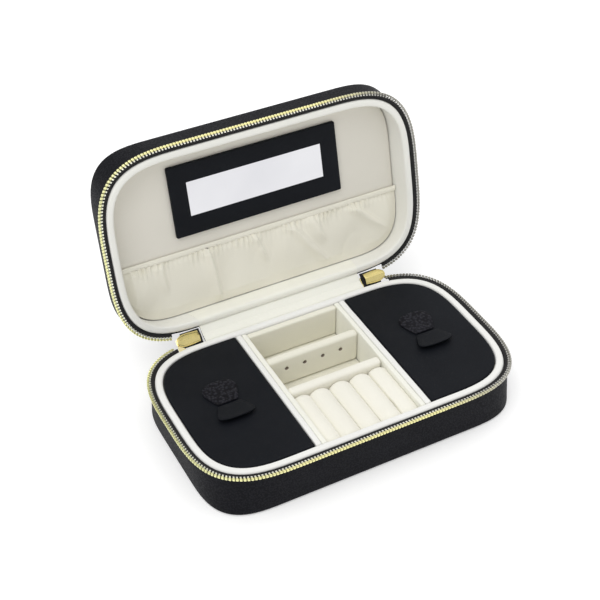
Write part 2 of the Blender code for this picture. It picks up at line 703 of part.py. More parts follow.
def make_slider(side, name, about):
    """Two plates joined by a neck at the mouth, with lugs and a pin for the pull on the outer one."""
    axis_y, axis_z = hinge_axis()
    x = spread(side, *SLIDER_X)
    z = about(SLIDER_HEIGHT / 2)
    ridge = axis_y - SLIDER_INNER
    eaves = ridge + SLIDER_SLOPE
    section = [(ridge, axis_z), (eaves, z[0]), (eaves + SLIDER_PLATE, z[0])]
    section += [(ridge + SLIDER_PLATE, axis_z), (eaves + SLIDER_PLATE, z[1]), (eaves, z[1])]
    plate = capped(name + "_slider", [[(end, y, height) for y, height in section] for end in x], GOLD)
    outer = ridge + SLIDER_PLATE + SLIDER_CHANNEL
    top = outer + SLIDER_PLATE
    parts = [box_piece(name + "_slider_outer", x, (outer, top), z, GOLD)]
    neck_x = spread(side, SLIDER_X[1] - SLIDER_NECK[0], SLIDER_X[1] - SLIDER_NECK[1])
    neck_y = (ridge + SLIDER_SINK, top - SLIDER_SINK)
    parts.append(box_piece(name + "_slider_neck", neck_x, neck_y, about(SLIDER_NECK_HALF), GOLD))
    middle = side * sum(SLIDER_X) / 2
    lug_x = (middle - LUG_HALF, middle + LUG_HALF)
    inner, reach = LUG_SPACING / 2, LUG_SPACING / 2 + LUG_THICK
    for way, which in ((-1, "low"), (1, "high")):
        lug_z = sorted((axis_z + way * inner, axis_z + way * reach))
        lug_y = (top - SLIDER_SINK, top + LUG_RISE)
        parts.append(box_piece(f"{name}_slider_lug_{which}", lug_x, lug_y, lug_z, GOLD))
    pin_y = top + LUG_RISE - PULL_PIN_DROP
    pin = cylinder_z(name + "_slider_pin", middle, pin_y, about(inner + GAP), PULL_PIN_RADIUS, GOLD, 12)
    parts.append(pin)
    unite(plate, parts)
    return [plate, *parts], pin_y


def make_pull(side, name, about, pin_y):
    """Flat pull with a bored knuckle on the slider's pin."""
    middle = side * sum(SLIDER_X) / 2
    knuckle = PULL_PIN_RADIUS + GAP + KNUCKLE_WALL
    narrow = about(LUG_SPACING / 2 - GAP)
    pull = cylinder_z(name + "_pull", middle, pin_y, narrow, knuckle, GOLD)
    x = (middle - PULL_THICK / 2, middle + PULL_THICK / 2)
    neck_y = (pin_y + PULL_PIN_RADIUS + GAP, pin_y + PULL_NECK + SLIDER_SINK)
    neck = box_piece(name + "_pull_neck", x, neck_y, narrow, GOLD)
    blade_y = (pin_y + PULL_NECK, pin_y + PULL_LENGTH)
    blade = box_piece(name + "_pull_blade", x, blade_y, about(PULL_WIDTH / 2), GOLD)
    bore = cylinder_z(name + "_pull_bore", middle, pin_y, about(LUG_SPACING), PULL_PIN_RADIUS + GAP, GOLD)
    unite(pull, [neck, blade])
    subtract(pull, bore)
    return [pull, neck, blade, bore]


def hang(piece, pivot):
    """Parent a piece to an empty without moving its closed-pose coordinates about the axis."""
    piece.parent = pivot
    piece.location = (0.0, -pivot.location.y, -pivot.location.z)


def pivot_empty(name, angle):
    """Empty on the hinge axis, turned open by angle degrees."""
    axis_y, axis_z = hinge_axis()
    made = bpy.data.objects.new(name, None)
    made.location = (0.0, axis_y * METRES, axis_z * METRES)
    made.rotation_euler = (-radians(angle), 0.0, 0.0)
    bpy.context.collection.objects.link(made)
    return made


for existing in list(bpy.data.objects):
    bpy.data.objects.remove(existing, do_unlink=True)

base_half = Half("base", BASE_HEIGHT, -1, BASE_END_SETBACK)
lid_half = Half("lid", LID_HEIGHT, 1, LID_END_SETBACK)
make_base(base_half)
lid_pivot = pivot_empty("lid_pivot", HINGE_OPEN)
for lid_piece in make_lid(lid_half):
    hang(lid_piece, lid_pivot)
make_hinge(base_half, lid_half)
zip_pivot = pivot_empty("zip_pivot", HINGE_OPEN / 2)
for zip_side, zip_name in ((-1, "left"), (1, "right")):
    zip_end(zip_side, zip_name, zip_pivot)
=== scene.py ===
"""Looks of the open travel jewelry box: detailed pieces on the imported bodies, materials, light and camera.

Sizes are in millimetres and become metres where a mesh is made. +X runs along the longer side, +Y towards the
hinge, +Z up. The lid's pieces are made in the closed pose and turned open about the hinge axis.
"""

import json
from math import atan2, cos, pi, radians, sin

import bmesh
import bpy
import numpy as np
from mathutils import Matrix, Vector, kdtree, noise

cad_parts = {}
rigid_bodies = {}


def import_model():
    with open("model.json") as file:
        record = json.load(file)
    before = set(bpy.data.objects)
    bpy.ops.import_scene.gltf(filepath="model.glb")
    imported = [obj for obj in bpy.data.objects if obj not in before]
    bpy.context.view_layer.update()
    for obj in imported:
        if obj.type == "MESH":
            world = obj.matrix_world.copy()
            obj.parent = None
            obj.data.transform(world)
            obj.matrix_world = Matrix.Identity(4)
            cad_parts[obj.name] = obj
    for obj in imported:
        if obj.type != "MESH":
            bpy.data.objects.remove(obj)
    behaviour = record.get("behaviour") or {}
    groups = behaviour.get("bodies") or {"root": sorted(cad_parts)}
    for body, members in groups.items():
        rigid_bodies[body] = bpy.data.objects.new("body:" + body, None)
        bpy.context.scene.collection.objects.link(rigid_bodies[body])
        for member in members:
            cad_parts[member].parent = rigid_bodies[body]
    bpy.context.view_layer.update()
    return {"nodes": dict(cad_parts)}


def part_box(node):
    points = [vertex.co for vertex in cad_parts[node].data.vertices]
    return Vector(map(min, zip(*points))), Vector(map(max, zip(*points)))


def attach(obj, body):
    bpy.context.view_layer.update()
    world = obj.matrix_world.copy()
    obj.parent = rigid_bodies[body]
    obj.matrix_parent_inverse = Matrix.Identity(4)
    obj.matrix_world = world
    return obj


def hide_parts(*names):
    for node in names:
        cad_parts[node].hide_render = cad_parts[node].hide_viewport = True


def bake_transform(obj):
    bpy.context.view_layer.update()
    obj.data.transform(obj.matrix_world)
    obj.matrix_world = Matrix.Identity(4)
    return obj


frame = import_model()

MM = 0.001
# space left between neighbouring pieces
GAP = 0.3

# the case's outline, its two halves and the layers of its wall
TEETH_REACH = 2.2
SEAM_GAP = 0.15
CORNER = 52.6
CORNER_POWER = 3.3
CORNER_FOLLOW = 1.4
END_CORNER = 36.5
EDGE_ROUND = 1.8
LEATHER = 0.9
SHELL = 1.6
TAPE_SHELF = 0.6
TAPE_THICK = 0.45
TAPE_FLANGE = 5.4
RIM_OUTER = 1.95
RIM_WIDTH = 4.0
RIM_INNER = RIM_OUTER + RIM_WIDTH
RIM_ROUND = 1.35
TAPE_STEPS = 420
NOTCH_X = 65.6
NOTCH_DEPTH = 5.0
TAPE_END = 64.4
LID_HEIGHT = 20.7
HINGE_OPEN = 103.9
HINGE_BEYOND = 0.9
HINGE_BELOW = 0.65

CORNER_STEPS = 22
LONG_STEPS = 40
SHORT_STEPS = 3


def low_high(node):
    """Corners of a CAD node's box, in millimetres."""
    low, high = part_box(node)
    return np.array(low) / MM, np.array(high) / MM


teeth_low, teeth_high = low_high("base_zip_teeth")
WIDTH = teeth_high[0] - teeth_low[0]
DEPTH = -2 * teeth_low[1]
BASE_HEIGHT = teeth_high[2] + SEAM_GAP
AXIS = Vector((0.0, DEPTH / 2 + HINGE_BEYOND, BASE_HEIGHT - HINGE_BELOW))


def turned(angle):
    """Matrix that turns closed-pose millimetres open by angle degrees about the hinge axis."""
    return Matrix.Translation(AXIS) @ Matrix.Rotation(-radians(angle), 4, "X") @ Matrix.Translation(-AXIS)


LID = turned(HINGE_OPEN)
ZIP = turned(HINGE_OPEN / 2)


# outlines


def bulge(share):
    """Height of the unit superellipse at a share of its half width."""
    return (1 - share**CORNER_POWER) ** (1 / CORNER_POWER)


def corner_points(end, steps):
    """Unit superellipse from its right side round to the end angle, closer points where it turns most."""
    share = 2 * np.arange(steps + 1) / steps - 1
    angle = end / 2 * (1 + 0.55 * share + 0.45 * share**3)
    across, along = np.clip(np.cos(angle), 0, 1), np.clip(np.sin(angle), 0, 1)
    length = (across**CORNER_POWER + along**CORNER_POWER) ** (-1 / CORNER_POWER)
    return np.stack([across * length, along * length], 1)


QUARTER = corner_points(pi / 2, CORNER_STEPS)


def between(start, end, steps):
    """Points strictly between two points."""
    share = np.arange(1, steps)[:, None] / steps
    return start + (end - start) * share


def outline(width, depth, corner):
    """Anticlockwise loop of a soft rectangle, from its right side on."""
    corner = max(corner, 0.5)
    centre = np.array([width / 2 - corner, depth / 2 - corner])
    one = centre + corner * QUARTER
    two = (one * [-1, 1])[::-1]
    three = one * [-1, -1]
    four = (one * [1, -1])[::-1]
    parts = [one, between(one[-1], two[0], LONG_STEPS), two, between(two[-1], three[0], SHORT_STEPS)]
    parts += [three, between(three[-1], four[0], LONG_STEPS), four, between(four[-1], one[0], SHORT_STEPS)]
    return np.concatenate(parts)


def run_length(path):
    """Distance along a path at each of its points."""
    return np.concatenate([[0], np.cumsum(np.linalg.norm(np.diff(path, axis=0), axis=1))])


class Half:
    """One half of the case: which way it goes from the seam, and its size at each depth."""

    def __init__(self, name, height, way, setback, place):
        self.name, self.height, self.way, self.setback, self.place = name, height, way, setback, place

    def size(self, inset, drop):
        share = drop / self.height
        corner = CORNER - CORNER_FOLLOW * TEETH_REACH
        start = np.array([WIDTH - 2 * TEETH_REACH, DEPTH - 2 * TEETH_REACH, corner])
        end = np.array([WIDTH - 2 * self.setback[0], DEPTH - 2 * self.setback[1], END_CORNER])
        return start + (end - start) * share - inset * np.array([2.0, 2.0, CORNER_FOLLOW])

    def z(self, drop):
        return BASE_HEIGHT + self.way * drop

    def ring(self, inset, drop):
        flat = outline(*self.size(inset, drop))
        return np.column_stack([flat, np.full(len(flat), self.z(drop))])

    def back_y(self, inset, drop, x):
        width, depth, corner = self.size(inset, drop)
        beyond = np.clip((abs(x) - (width / 2 - corner)) / corner, 0, 1)
        return depth / 2 - corner + corner * bulge(beyond)

    def run(self, inset, drop, end, count):
        """Evenly spaced points round the case, without the back edge between -end and +end."""
        loop = self.ring(inset, drop)
        start = int(np.argmax(loop[:, 1] + (loop[:, 0] > 0) * 1e-6 - abs(loop[:, 0]) * 1e-4))
        loop = np.roll(loop, -start, axis=0)[::-1]
        loop = np.concatenate([loop[-1:], loop])
        length = run_length(loop)
        back = length[-1] / 4
        first = np.interp(end, loop[length < back][:, 0], length[length < back])
        at = np.linspace(first, length[-1] - first, count)
        return np.stack([np.interp(at, length, loop[:, i]) for i in range(3)], 1)


base = Half("base", BASE_HEIGHT, -1, (3.7, 2.0), Matrix.Identity(4))
lid = Half("lid", LID_HEIGHT, 1, (4.0, 1.6), LID)


# meshes


def loft(loops, closed=True, ring=False, caps=(False, False)):
    """Points and faces of loops joined in order."""
    count = len(loops[0])
    points = np.concatenate(loops)
    faces = []
    rows = len(loops)
    for row in range(rows if ring else rows - 1):
        a, b = row * count, (row + 1) % rows * count
        for i in range(count if closed else count - 1):
            j = (i + 1) % count
            faces.append((a + i, a + j, b + j, b + i))
    if caps[0]:
        faces.append(tuple(range(count))[::-1])
    if caps[1]:
        faces.append(tuple(range((rows - 1) * count, rows * count)))
    return points, faces


def wobble(points, amount, scale, seed=0.0):
    """Points moved by soft noise of the given size and wavelength."""
    moved = [noise.noise_vector(Vector(p) / scale + Vector((seed, seed, seed))) for p in points]
    return points + amount * np.array([tuple(v) for v in moved])


def placed(name, data):
    """A new object in the scene."""
    made = bpy.data.objects.new(name, data)
    bpy.context.scene.collection.objects.link(made)
    return made


def piece(name, shape, paint, body, nodes=(), place=None, sharp=50):
    """An object from millimetre points and faces, riding on a body and standing for CAD nodes."""
    points, faces = shape
    mesh = bpy.data.meshes.new(name)
    mesh.from_pydata([tuple(p) for p in points], [], faces)
    bm = bmesh.new()
    bm.from_mesh(mesh)
    bmesh.ops.remove_doubles(bm, verts=bm.verts, dist=1e-4)
    bmesh.ops.recalc_face_normals(bm, faces=bm.faces)
    bm.transform(Matrix.Scale(MM, 4) @ (place or Matrix.Identity(4)))
    bm.to_mesh(mesh)
    bm.free()
    mesh.shade_smooth()
    mesh.set_sharp_from_angle(angle=radians(sharp))
    made = placed(name, mesh)
    mesh.materials.append(PAINTS[paint])
    if nodes:
        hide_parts(*nodes)
    if body:
        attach(made, body)
    return made


def ticks(low, high, radius, cell):
    """Places along one side of a rounded box: close together over each rounded edge."""
    edge = radius - radius * np.tan(np.radians(np.linspace(45, 0, 5)[:-1]))
    flat = np.linspace(low + radius, high - radius, max(2, int((high - low - 2 * radius) / cell) + 1))
    return np.concatenate([low + edge, flat, (high - edge)[::-1]])


def rounded_box(low, high, radius, cell=2.5):
    """Points and faces of a box with round edges and a grid on every side."""
    low, high = np.array(low, float), np.array(high, float)
    radius = min(radius, (high - low).min() / 2 - 0.01)
    lines = [ticks(low[i], high[i], radius, cell) for i in range(3)]
    index, points, faces = {}, [], []

    def vertex(key):
        if key not in index:
            index[key] = len(points)
            points.append([lines[i][key[i]] for i in range(3)])
        return index[key]

    for axis in range(3):
        u, v = (axis + 1) % 3, (axis + 2) % 3
        for end in (0, len(lines[axis]) - 1):
            for i in range(len(lines[u]) - 1):
                for j in range(len(lines[v]) - 1):
                    quad = []
                    for di, dj in ((0, 0), (1, 0), (1, 1), (0, 1)):
                        key = [0, 0, 0]
                        key[axis], key[u], key[v] = end, i + di, j + dj
                        quad.append(vertex(tuple(key)))
                    faces.append(tuple(quad))
    points = np.array(points)
    core = np.clip(points, low + radius, high - radius)
    away = points - core
    away /= np.linalg.norm(away, axis=1)[:, None]
    return core + radius * away, faces


def arc(radius, steps=6):
    """Inset and rise steps round a quarter-round edge."""
    angles = np.radians(np.linspace(0, 90, steps + 1))[1:]
    return [(radius * (1 - cos(a)), radius * sin(a)) for a in angles]


def joined(shapes):
    """Several points-and-faces shapes as one."""
    points, faces, count = [], [], 0
    for some, these in shapes:
        points.append(np.asarray(some, float))
        faces += [tuple(i + count for i in face) for face in these]
        count += len(some)
    return np.concatenate(points), faces


def circle(x, y, z, radius, steps):
    """Loop of points round a line along Z."""
    turn = 2 * pi * np.arange(steps) / steps
    return np.column_stack([x + radius * np.cos(turn), y + radius * np.sin(turn), np.full(steps, z)])


def applied(obj):
    """The object with its modifiers made part of its mesh."""
    bpy.context.view_layer.update()
    ready = obj.evaluated_get(bpy.context.evaluated_depsgraph_get())
    mesh = bpy.data.meshes.new_from_object(ready)
    obj.modifiers.clear()
    obj.data = mesh
    return obj


# materials


class Paint:
    """A procedural material in the making."""

    def __init__(self, name, colour, roughness, metallic=0.0, **constants):
        self.material = bpy.data.materials.new(name)
        self.material.use_nodes = True
        self.tree = self.material.node_tree
        self.shader = self.tree.nodes["Principled BSDF"]
        self.set("Base Color", (*colour, 1.0))
        self.set("Roughness", roughness)
        self.set("Metallic", metallic)
        for socket, value in constants.items():
            self.set(socket.replace("_", " "), value)
        self.coordinates = self.tree.nodes.new("ShaderNodeTexCoord").outputs["Object"]

    def set(self, socket, value):
        self.shader.inputs[socket].default_value = value

    def node(self, kind, inputs=(), **settings):
        made = self.tree.nodes.new(kind)
        for key, value in settings.items():
            setattr(made, key, value)
        for key, value in dict(inputs).items():
            if isinstance(value, bpy.types.NodeSocket):
                self.tree.links.new(value, made.inputs[key])
            else:
                made.inputs[key].default_value = value
        return made

    def noise(self, scale, detail=2.0):
        inputs = {"Vector": self.coordinates, "Scale": scale, "Detail": detail}
        return self.node("ShaderNodeTexNoise", inputs).outputs["Fac"]

    def cells(self, scale):
        inputs = {"Vector": self.coordinates, "Scale": scale}
        return self.node("ShaderNodeTexVoronoi", inputs).outputs["Distance"]

    def sum(self, first, second, share):
        """first + share * second"""
        inputs = {0: second, 1: share, 2: first}
        return self.node("ShaderNodeMath", inputs, operation="MULTIPLY_ADD").outputs[0]

    def ramp(self, value, stops):
        made = self.node("ShaderNodeValToRGB", {"Fac": value})
        elements = made.color_ramp.elements
        while len(elements) < len(stops):
            elements.new(0.5)
        for element, (place, colour) in zip(elements, stops):
            element.position = place
            element.color = (*colour, 1.0)
        return made.outputs["Color"]

    def range(self, value, low, high, start, end):
        inputs = {"Value": value, "From Min": low, "From Max": high, "To Min": start, "To Max": end}
        return self.node("ShaderNodeMapRange", inputs).outputs["Result"]

    def bump(self, height, distance, strength):
        inputs = {"Height": height, "Distance": distance, "Strength": strength}
        normal = self.node("ShaderNodeBump", inputs).outputs["Normal"]
        self.tree.links.new(normal, self.shader.inputs["Normal"])

    def colour(self, value):
        self.tree.links.new(value, self.shader.inputs["Base Color"])

    def rough(self, value):
        self.tree.links.new(value, self.shader.inputs["Roughness"])


def pebbled_leather(name, cell, dark, light, relief):
    """Black leather with round pebbles of the given size in millimetres."""
    paint = Paint(name, dark, 0.5, Specular_IOR_Level=0.1)
    pebbles = paint.cells(1 / (cell * MM))
    fine = paint.noise(3.2 / (cell * MM), 3.0)
    broad = paint.noise(60.0, 2.0)
    tops = paint.range(pebbles, 0.15, 0.62, 1.0, 0.0)
    height = paint.sum(tops, fine, 0.35)
    paint.bump(height, relief * cell * MM, 0.8)
    tone = paint.sum(tops, broad, 0.5)
    paint.colour(paint.ramp(tone, [(0.1, dark), (0.8, light)]))
    paint.rough(paint.range(tops, 0.0, 1.0, 0.62, 0.46))
    return paint.material


def smooth_leather(name, dark, light):
    """Black leather with a fine, shallow grain."""
    paint = Paint(name, dark, 0.52, Specular_IOR_Level=0.12)
    grain = paint.cells(1500.0)
    fine = paint.noise(5200.0, 3.0)
    broad = paint.noise(45.0, 3.0)
    height = paint.sum(paint.range(grain, 0.1, 0.6, 1.0, 0.0), fine, 0.5)
    paint.bump(height, 0.05 * MM, 0.7)
    paint.colour(paint.ramp(broad, [(0.35, dark), (0.65, light)]))
    paint.rough(paint.range(fine, 0.3, 0.7, 0.48, 0.6))
    return paint.material


def velvet(name, shade, light, nap=1.0):
    """Short-pile fabric: soft mottling, a fine nap and sheen."""
    paint = Paint(name, light, 0.95, Specular_IOR_Level=0.15, Sheen_Weight=0.25, Sheen_Roughness=0.45)
    mottle = paint.noise(24.0, 2.0)
    pile = paint.noise(2600.0, 3.0)
    tone = paint.sum(mottle, pile, 0.45)
    paint.colour(paint.ramp(tone, [(0.45, shade), (0.95, light)]))
    paint.bump(pile, 0.07 * nap * MM, 0.45)
    paint.rough(paint.range(pile, 0.3, 0.7, 0.88, 1.0))
    return paint.material


def zip_weave(name):
    """Black woven tape: threads along and across, from the tape's own UV in metres."""
    paint = Paint(name, (0.008, 0.008, 0.009), 0.75, Specular_IOR_Level=0.3)
    uv = paint.tree.nodes["Texture Coordinate"].outputs["UV"]
    waves = []
    for axis in "XY":
        inputs = {"Vector": uv, "Scale": 520.0, "Distortion": 0.6, "Detail": 1.0}
        waves.append(paint.node("ShaderNodeTexWave", inputs, bands_direction=axis).outputs["Fac"])
    weave = paint.node("ShaderNodeMath", {0: waves[0], 1: waves[1]}, operation="MULTIPLY").outputs[0]
    speck = paint.noise(1500.0, 2.0)
    paint.bump(paint.sum(weave, speck, 0.5), 0.12 * MM, 0.9)
    stops = [(0.3, (0.006, 0.006, 0.007)), (0.95, (0.035, 0.034, 0.033))]
    paint.colour(paint.ramp(paint.sum(weave, speck, 0.4), stops))
    return paint.material


def gold(name, colour):
    """Polished plating with a few soft scuffs."""
    paint = Paint(name, colour, 0.14, 1.0)
    wear = paint.noise(300.0, 3.0)
    paint.bump(wear, 0.01 * MM, 0.2)
    paint.rough(paint.range(wear, 0.3, 0.75, 0.12, 0.18))
    tinted = tuple(0.93 * c for c in colour)
    paint.colour(paint.ramp(wear, [(0.35, tinted), (0.6, colour)]))
    return paint.material


def teeth_metal(name, near, middle, far):
    """Plating with a little random wear and a painted reflection: its colour runs from a duller gold at the
    left-hand end through bright gold to grey at the right-hand end.
    """
    paint = Paint(name, middle, 0.3, 1.0)
    wear = paint.noise(900.0, 3.0)
    across = paint.node("ShaderNodeSeparateXYZ", {"Vector": paint.coordinates}).outputs["X"]
    # painted reflection: the colour follows object X, duller gold on the left and grey on the right, with a
    # little wear noise on top
    painted_light_and_wear = paint.sum(paint.range(across, -0.09, 0.09, 0.0, 1.0), wear, 0.12)
    paint.colour(paint.ramp(painted_light_and_wear, [(0.0, near), (0.3, middle), (0.75, middle), (0.97, far)]))
    paint.rough(paint.range(wear, 0.3, 0.75, 0.22, 0.42))
    paint.bump(wear, 0.02 * MM, 0.3)
    return paint.material


def board(name):
    """Pressed fibre board."""
    paint = Paint(name, (0.30, 0.25, 0.20), 0.85)
    fibre = paint.noise(900.0, 5.0)
    paint.bump(fibre, 0.08 * MM, 0.6)
    paint.colour(paint.ramp(fibre, [(0.3, (0.24, 0.19, 0.15)), (0.7, (0.36, 0.30, 0.24))]))
    return paint.material


def mirror_glass(name):
    """Silvered glass with a very slight haze."""
    paint = Paint(name, (0.64, 0.64, 0.66), 0.02, 1.0)
    haze = paint.noise(30.0, 2.0)
    paint.rough(paint.range(haze, 0.3, 0.7, 0.015, 0.03))
    paint.colour(paint.ramp(haze, [(0.3, (0.62, 0.62, 0.645)), (0.7, (0.67, 0.67, 0.69))]))
    return paint.material


PAINTS = {
    "pebbled": pebbled_leather(
        "Pebbled black leather", 0.9, (0.0025, 0.0027, 0.0045), (0.007, 0.0073, 0.0105), 0.05
    ),
    "tab": pebbled_leather(
        "Pebbled black tab leather", 1.5, (0.004, 0.004, 0.006), (0.02, 0.02, 0.026), 0.15
    ),
    "smooth": smooth_leather("Smooth black leather", (0.005, 0.0062, 0.009), (0.0065, 0.0078, 0.011)),
    "white": velvet("White velvet", (0.83, 0.828, 0.80), (0.88, 0.878, 0.85)),
    "rim": velvet("Off-white velvet", (0.81, 0.805, 0.755), (0.86, 0.855, 0.805)),
    "lining": velvet("Pale cream velvet", (0.85, 0.845, 0.765), (0.90, 0.895, 0.815)),
    "cream": velvet("Cream velvet", (0.81, 0.79, 0.68), (0.86, 0.84, 0.73)),
    "pad": velvet("Cream pad velvet", (0.735, 0.71, 0.635), (0.785, 0.755, 0.68)),
    "roll": velvet("Warm cream velvet", (0.85, 0.83, 0.74), (0.90, 0.88, 0.79)),
    "cloth": velvet("Cream pocket cloth", (0.81, 0.785, 0.68), (0.86, 0.835, 0.73), 0.6),
    "tape": zip_weave("Black woven zip tape"),
    "gold": gold("Gold plating", (0.98, 0.83, 0.36)),
    # teeth and legs carry a painted reflection: the last colour is the grey painted at the right-hand end
    "teeth": teeth_metal("Pale gold zip teeth", (0.76, 0.77, 0.42), (0.99, 0.93, 0.46), (0.42, 0.41, 0.37)),
    "legs": teeth_metal("Pale zip teeth legs", (0.85, 0.86, 0.72), (0.97, 0.96, 0.86), (0.5, 0.49, 0.46)),
    "glass": mirror_glass("Mirror glass"),
    "board": board("Moulded board"),
}
SLOTS = {
    **dict.fromkeys(("pebbled", "tab"), "pebbled_leather"),
    **dict.fromkeys(("white", "rim", "lining", "cream", "pad", "roll"), "velvet"),
    **dict.fromkeys(("gold", "teeth", "legs"), "gold_metal"),
    "smooth": "smooth_leather",
    "cloth": "pocket_cloth",
    "tape": "zip_tape",
    "glass": "mirror_glass",
    "board": "shell_board",
}


# camera, light and floor

CAMERA_PLACE = Vector((-0.2495, -0.4377, 0.4889))
CAMERA_LOOK = Vector((0.35977, 0.68041, -0.63844))
CAMERA_LENS = 79.06
SENSOR_WIDTH = 36.0
SKY_STRENGTH = 0.62
# each lamp's name, the direction it shines from, its spread in degrees and its strength
LAMPS = (("key", (-0.5, -0.25, 1.0), 50.0, 1.0), ("top", (0.3, 0.45, 1.0), 90.0, 0.65))
FLOOR_REACH = 4.0
FLOOR_SHADE = 0.94
FLOOR_GLOW = 0.24


def make_stage():
    """Camera, soft white studio light and a pale floor."""
    camera = placed("camera", bpy.data.cameras.new("camera"))
    camera.data.lens = CAMERA_LENS
    camera.data.sensor_width = SENSOR_WIDTH
    camera.location = CAMERA_PLACE
    camera.rotation_euler = CAMERA_LOOK.to_track_quat("-Z", "Y").to_euler()
    bpy.context.scene.camera = camera
    bpy.context.scene.view_settings.view_transform = "Standard"

    world = bpy.data.worlds.new("studio")
    world.use_nodes = True
    background = world.node_tree.nodes["Background"]
    background.inputs["Color"].default_value = (1.0, 1.0, 1.0, 1.0)
    background.inputs["Strength"].default_value = SKY_STRENGTH
    bpy.context.scene.world = world

    for name, place, spread, strength in LAMPS:
        lamp = bpy.data.lights.new(name, "SUN")
        lamp.angle = radians(spread)
        lamp.energy = strength
        made = placed(name, lamp)
        made.location = place
        made.rotation_euler = (-Vector(place)).to_track_quat("-Z", "Y").to_euler()

    glow = {"Emission_Color": (1.0, 1.0, 1.0, 1.0), "Emission_Strength": FLOOR_GLOW}
    floor_paint = Paint("Pale floor", (FLOOR_SHADE,) * 3, 0.9, Specular_IOR_Level=0.1, **glow)
    mesh = bpy.data.meshes.new("floor")
    corners = [(x * FLOOR_REACH, y * FLOOR_REACH, 0) for x, y in ((-1, -1), (1, -1), (1, 1), (-1, 1))]
    mesh.from_pydata(corners, [], [(0, 1, 2, 3)])
    mesh.materials.append(floor_paint.material)
    placed("floor", mesh)


make_stage()


# walls of both halves


def leather_shell(half):
    """Leather cover: its upper edge steps down between the zip ends, its closed end is rounded."""
    top = TAPE_SHELF + TAPE_THICK + GAP
    end = half.height
    fold = 0.3
    outer = [(fold, top), (0.08, top + 0.1), (0.0, top + fold)]
    outer += [(0.0, d) for d in np.linspace(top + 1.5, end - EDGE_ROUND, 7)]
    outer += [(step, end - EDGE_ROUND + rise) for step, rise in arc(EDGE_ROUND, 9)]
    outer += [(EDGE_ROUND + more, end) for more in (3.0, 9.0, 18.0, 28.0)]
    inner = [(LEATHER, top), (LEATHER, end - EDGE_ROUND)]
    inner += [(LEATHER + step * 0.8, end - EDGE_ROUND + rise * 0.8) for step, rise in arc(EDGE_ROUND, 4)]
    inner += [(EDGE_ROUND + 3.0, end - LEATHER), (EDGE_ROUND + 18.0, end - LEATHER)]
    loops = []
    flat_ring = half.ring(0.0, 0.0)
    back = (flat_ring[:, 1] > 0) & (abs(flat_ring[:, 0]) < NOTCH_X)
    edge = np.clip((NOTCH_X - abs(flat_ring[:, 0])) / 1.5, 0, 1) * back
    for inset, drop in inner[::-1] + outer:
        loop = half.ring(inset, drop)
        lowered = half.ring(inset, drop + NOTCH_DEPTH - top)
        share = edge * np.clip((top + 2.0 - drop) / 2.0, 0, 1)
        loops.append(loop + (lowered - loop) * share[:, None])
    return loft(loops, caps=(True, True))


def zip_tape(half):
    """Woven tape: a shelf between rim and teeth with a beaded outer edge, and a flange sewn to the wall."""
    flange = RIM_OUTER - GAP
    low = TAPE_SHELF + TAPE_THICK
    section = [(-0.55, TAPE_SHELF - 0.02), (-0.2, TAPE_SHELF - 0.12), (0.3, TAPE_SHELF + 0.04)]
    section += [(1.0, TAPE_SHELF), (1.4, TAPE_SHELF + 0.04), (flange, TAPE_SHELF + 0.15)]
    section += [(flange, TAPE_SHELF + TAPE_FLANGE), (flange - TAPE_THICK, TAPE_SHELF + TAPE_FLANGE)]
    section += [(flange - TAPE_THICK, low), (0.1, low), (-0.55, low - 0.1)]
    rows = [half.run(inset, drop, TAPE_END, TAPE_STEPS) for inset, drop in section]
    return loft(np.stack(rows, axis=1), caps=(True, True))


def weave_uv(made, where):
    """UV in metres from each vertex's place along and across the tape in millimetres."""
    layer = made.data.uv_layers.new(name="weave")
    for loop in made.data.loops:
        layer.data[loop.index].uv = np.array(where[loop.vertex_index]) * MM


def tape_uv(made, half):
    """UV of a tape: round the case, and away from its shelf."""
    path = half.run(0.5, TAPE_SHELF, TAPE_END, TAPE_STEPS)
    length = run_length(path)
    tree = kdtree.KDTree(TAPE_STEPS)
    for i, p in enumerate(path):
        tree.insert(Vector(p), i)
    tree.balance()
    inverse = half.place.inverted() @ Matrix.Scale(1 / MM, 4)
    found = [tree.find(inverse @ vertex.co) for vertex in made.data.vertices]
    weave_uv(made, [(length[i], distance) for _, i, distance in found])


# sections of one zip tooth: distance outwards from the leather, half width along the zip, half height
TOOTH_LEG = ((0.05, 0.34, 0.5), (0.2, 0.5, 0.66), (0.8, 0.5, 0.66), (0.97, 0.34, 0.46))
TOOTH_HEAD = ((1.0, 0.32, 0.46), (1.15, 0.32, 0.46), (1.3, 0.74, 0.64), (2.0, 0.72, 0.62), (2.2, 0.56, 0.44))
TOOTH_CUT = 0.35
TOOTH_SLANT = 0.22
TOOTH_PITCH = 1.72
TEETH_START = 63.9
TEETH_DROP = SEAM_GAP + 0.7
TEETH_STEPS = 4000
TEETH_LOOK = 20


def tooth(sections, slant):
    """Part of one zip tooth with its corners cut: along, outwards and up, in millimetres."""
    cut = 1 - TOOTH_CUT
    corner = [(1, -cut), (1, cut), (cut, 1), (-cut, 1)]
    corner += [(-a, -c) for a, c in corner]
    loops = []
    for out, half_width, half_thick in sections:
        loops.append(np.array([(a * half_width + slant * out, out, c * half_thick) for a, c in corner]))
    return loft(loops, caps=(True, True))


def zip_teeth(half, sections):
    """Teeth, or one part of them, spaced evenly round the case."""
    points, faces = tooth(sections, TOOTH_SLANT * half.way)
    path = half.run(0.0, TEETH_DROP, TEETH_START, TEETH_STEPS)
    length = run_length(path)
    shift = 0.0 if half is base else 0.5
    places = (np.arange(int(length[-1] / TOOTH_PITCH)) + shift) * TOOTH_PITCH
    shapes = []
    for i in np.searchsorted(length, places[places <= length[-1]]):
        i = min(int(i), TEETH_STEPS - 2)
        along = path[min(i + TEETH_LOOK, TEETH_STEPS - 1)] - path[max(i - TEETH_LOOK, 0)]
        along /= np.linalg.norm(along)
        turned_by = np.array([along, [-along[1], along[0], 0.0], [0.0, 0.0, float(-half.way)]])
        shapes.append((path[i] + points @ turned_by, faces))
    return joined(shapes)


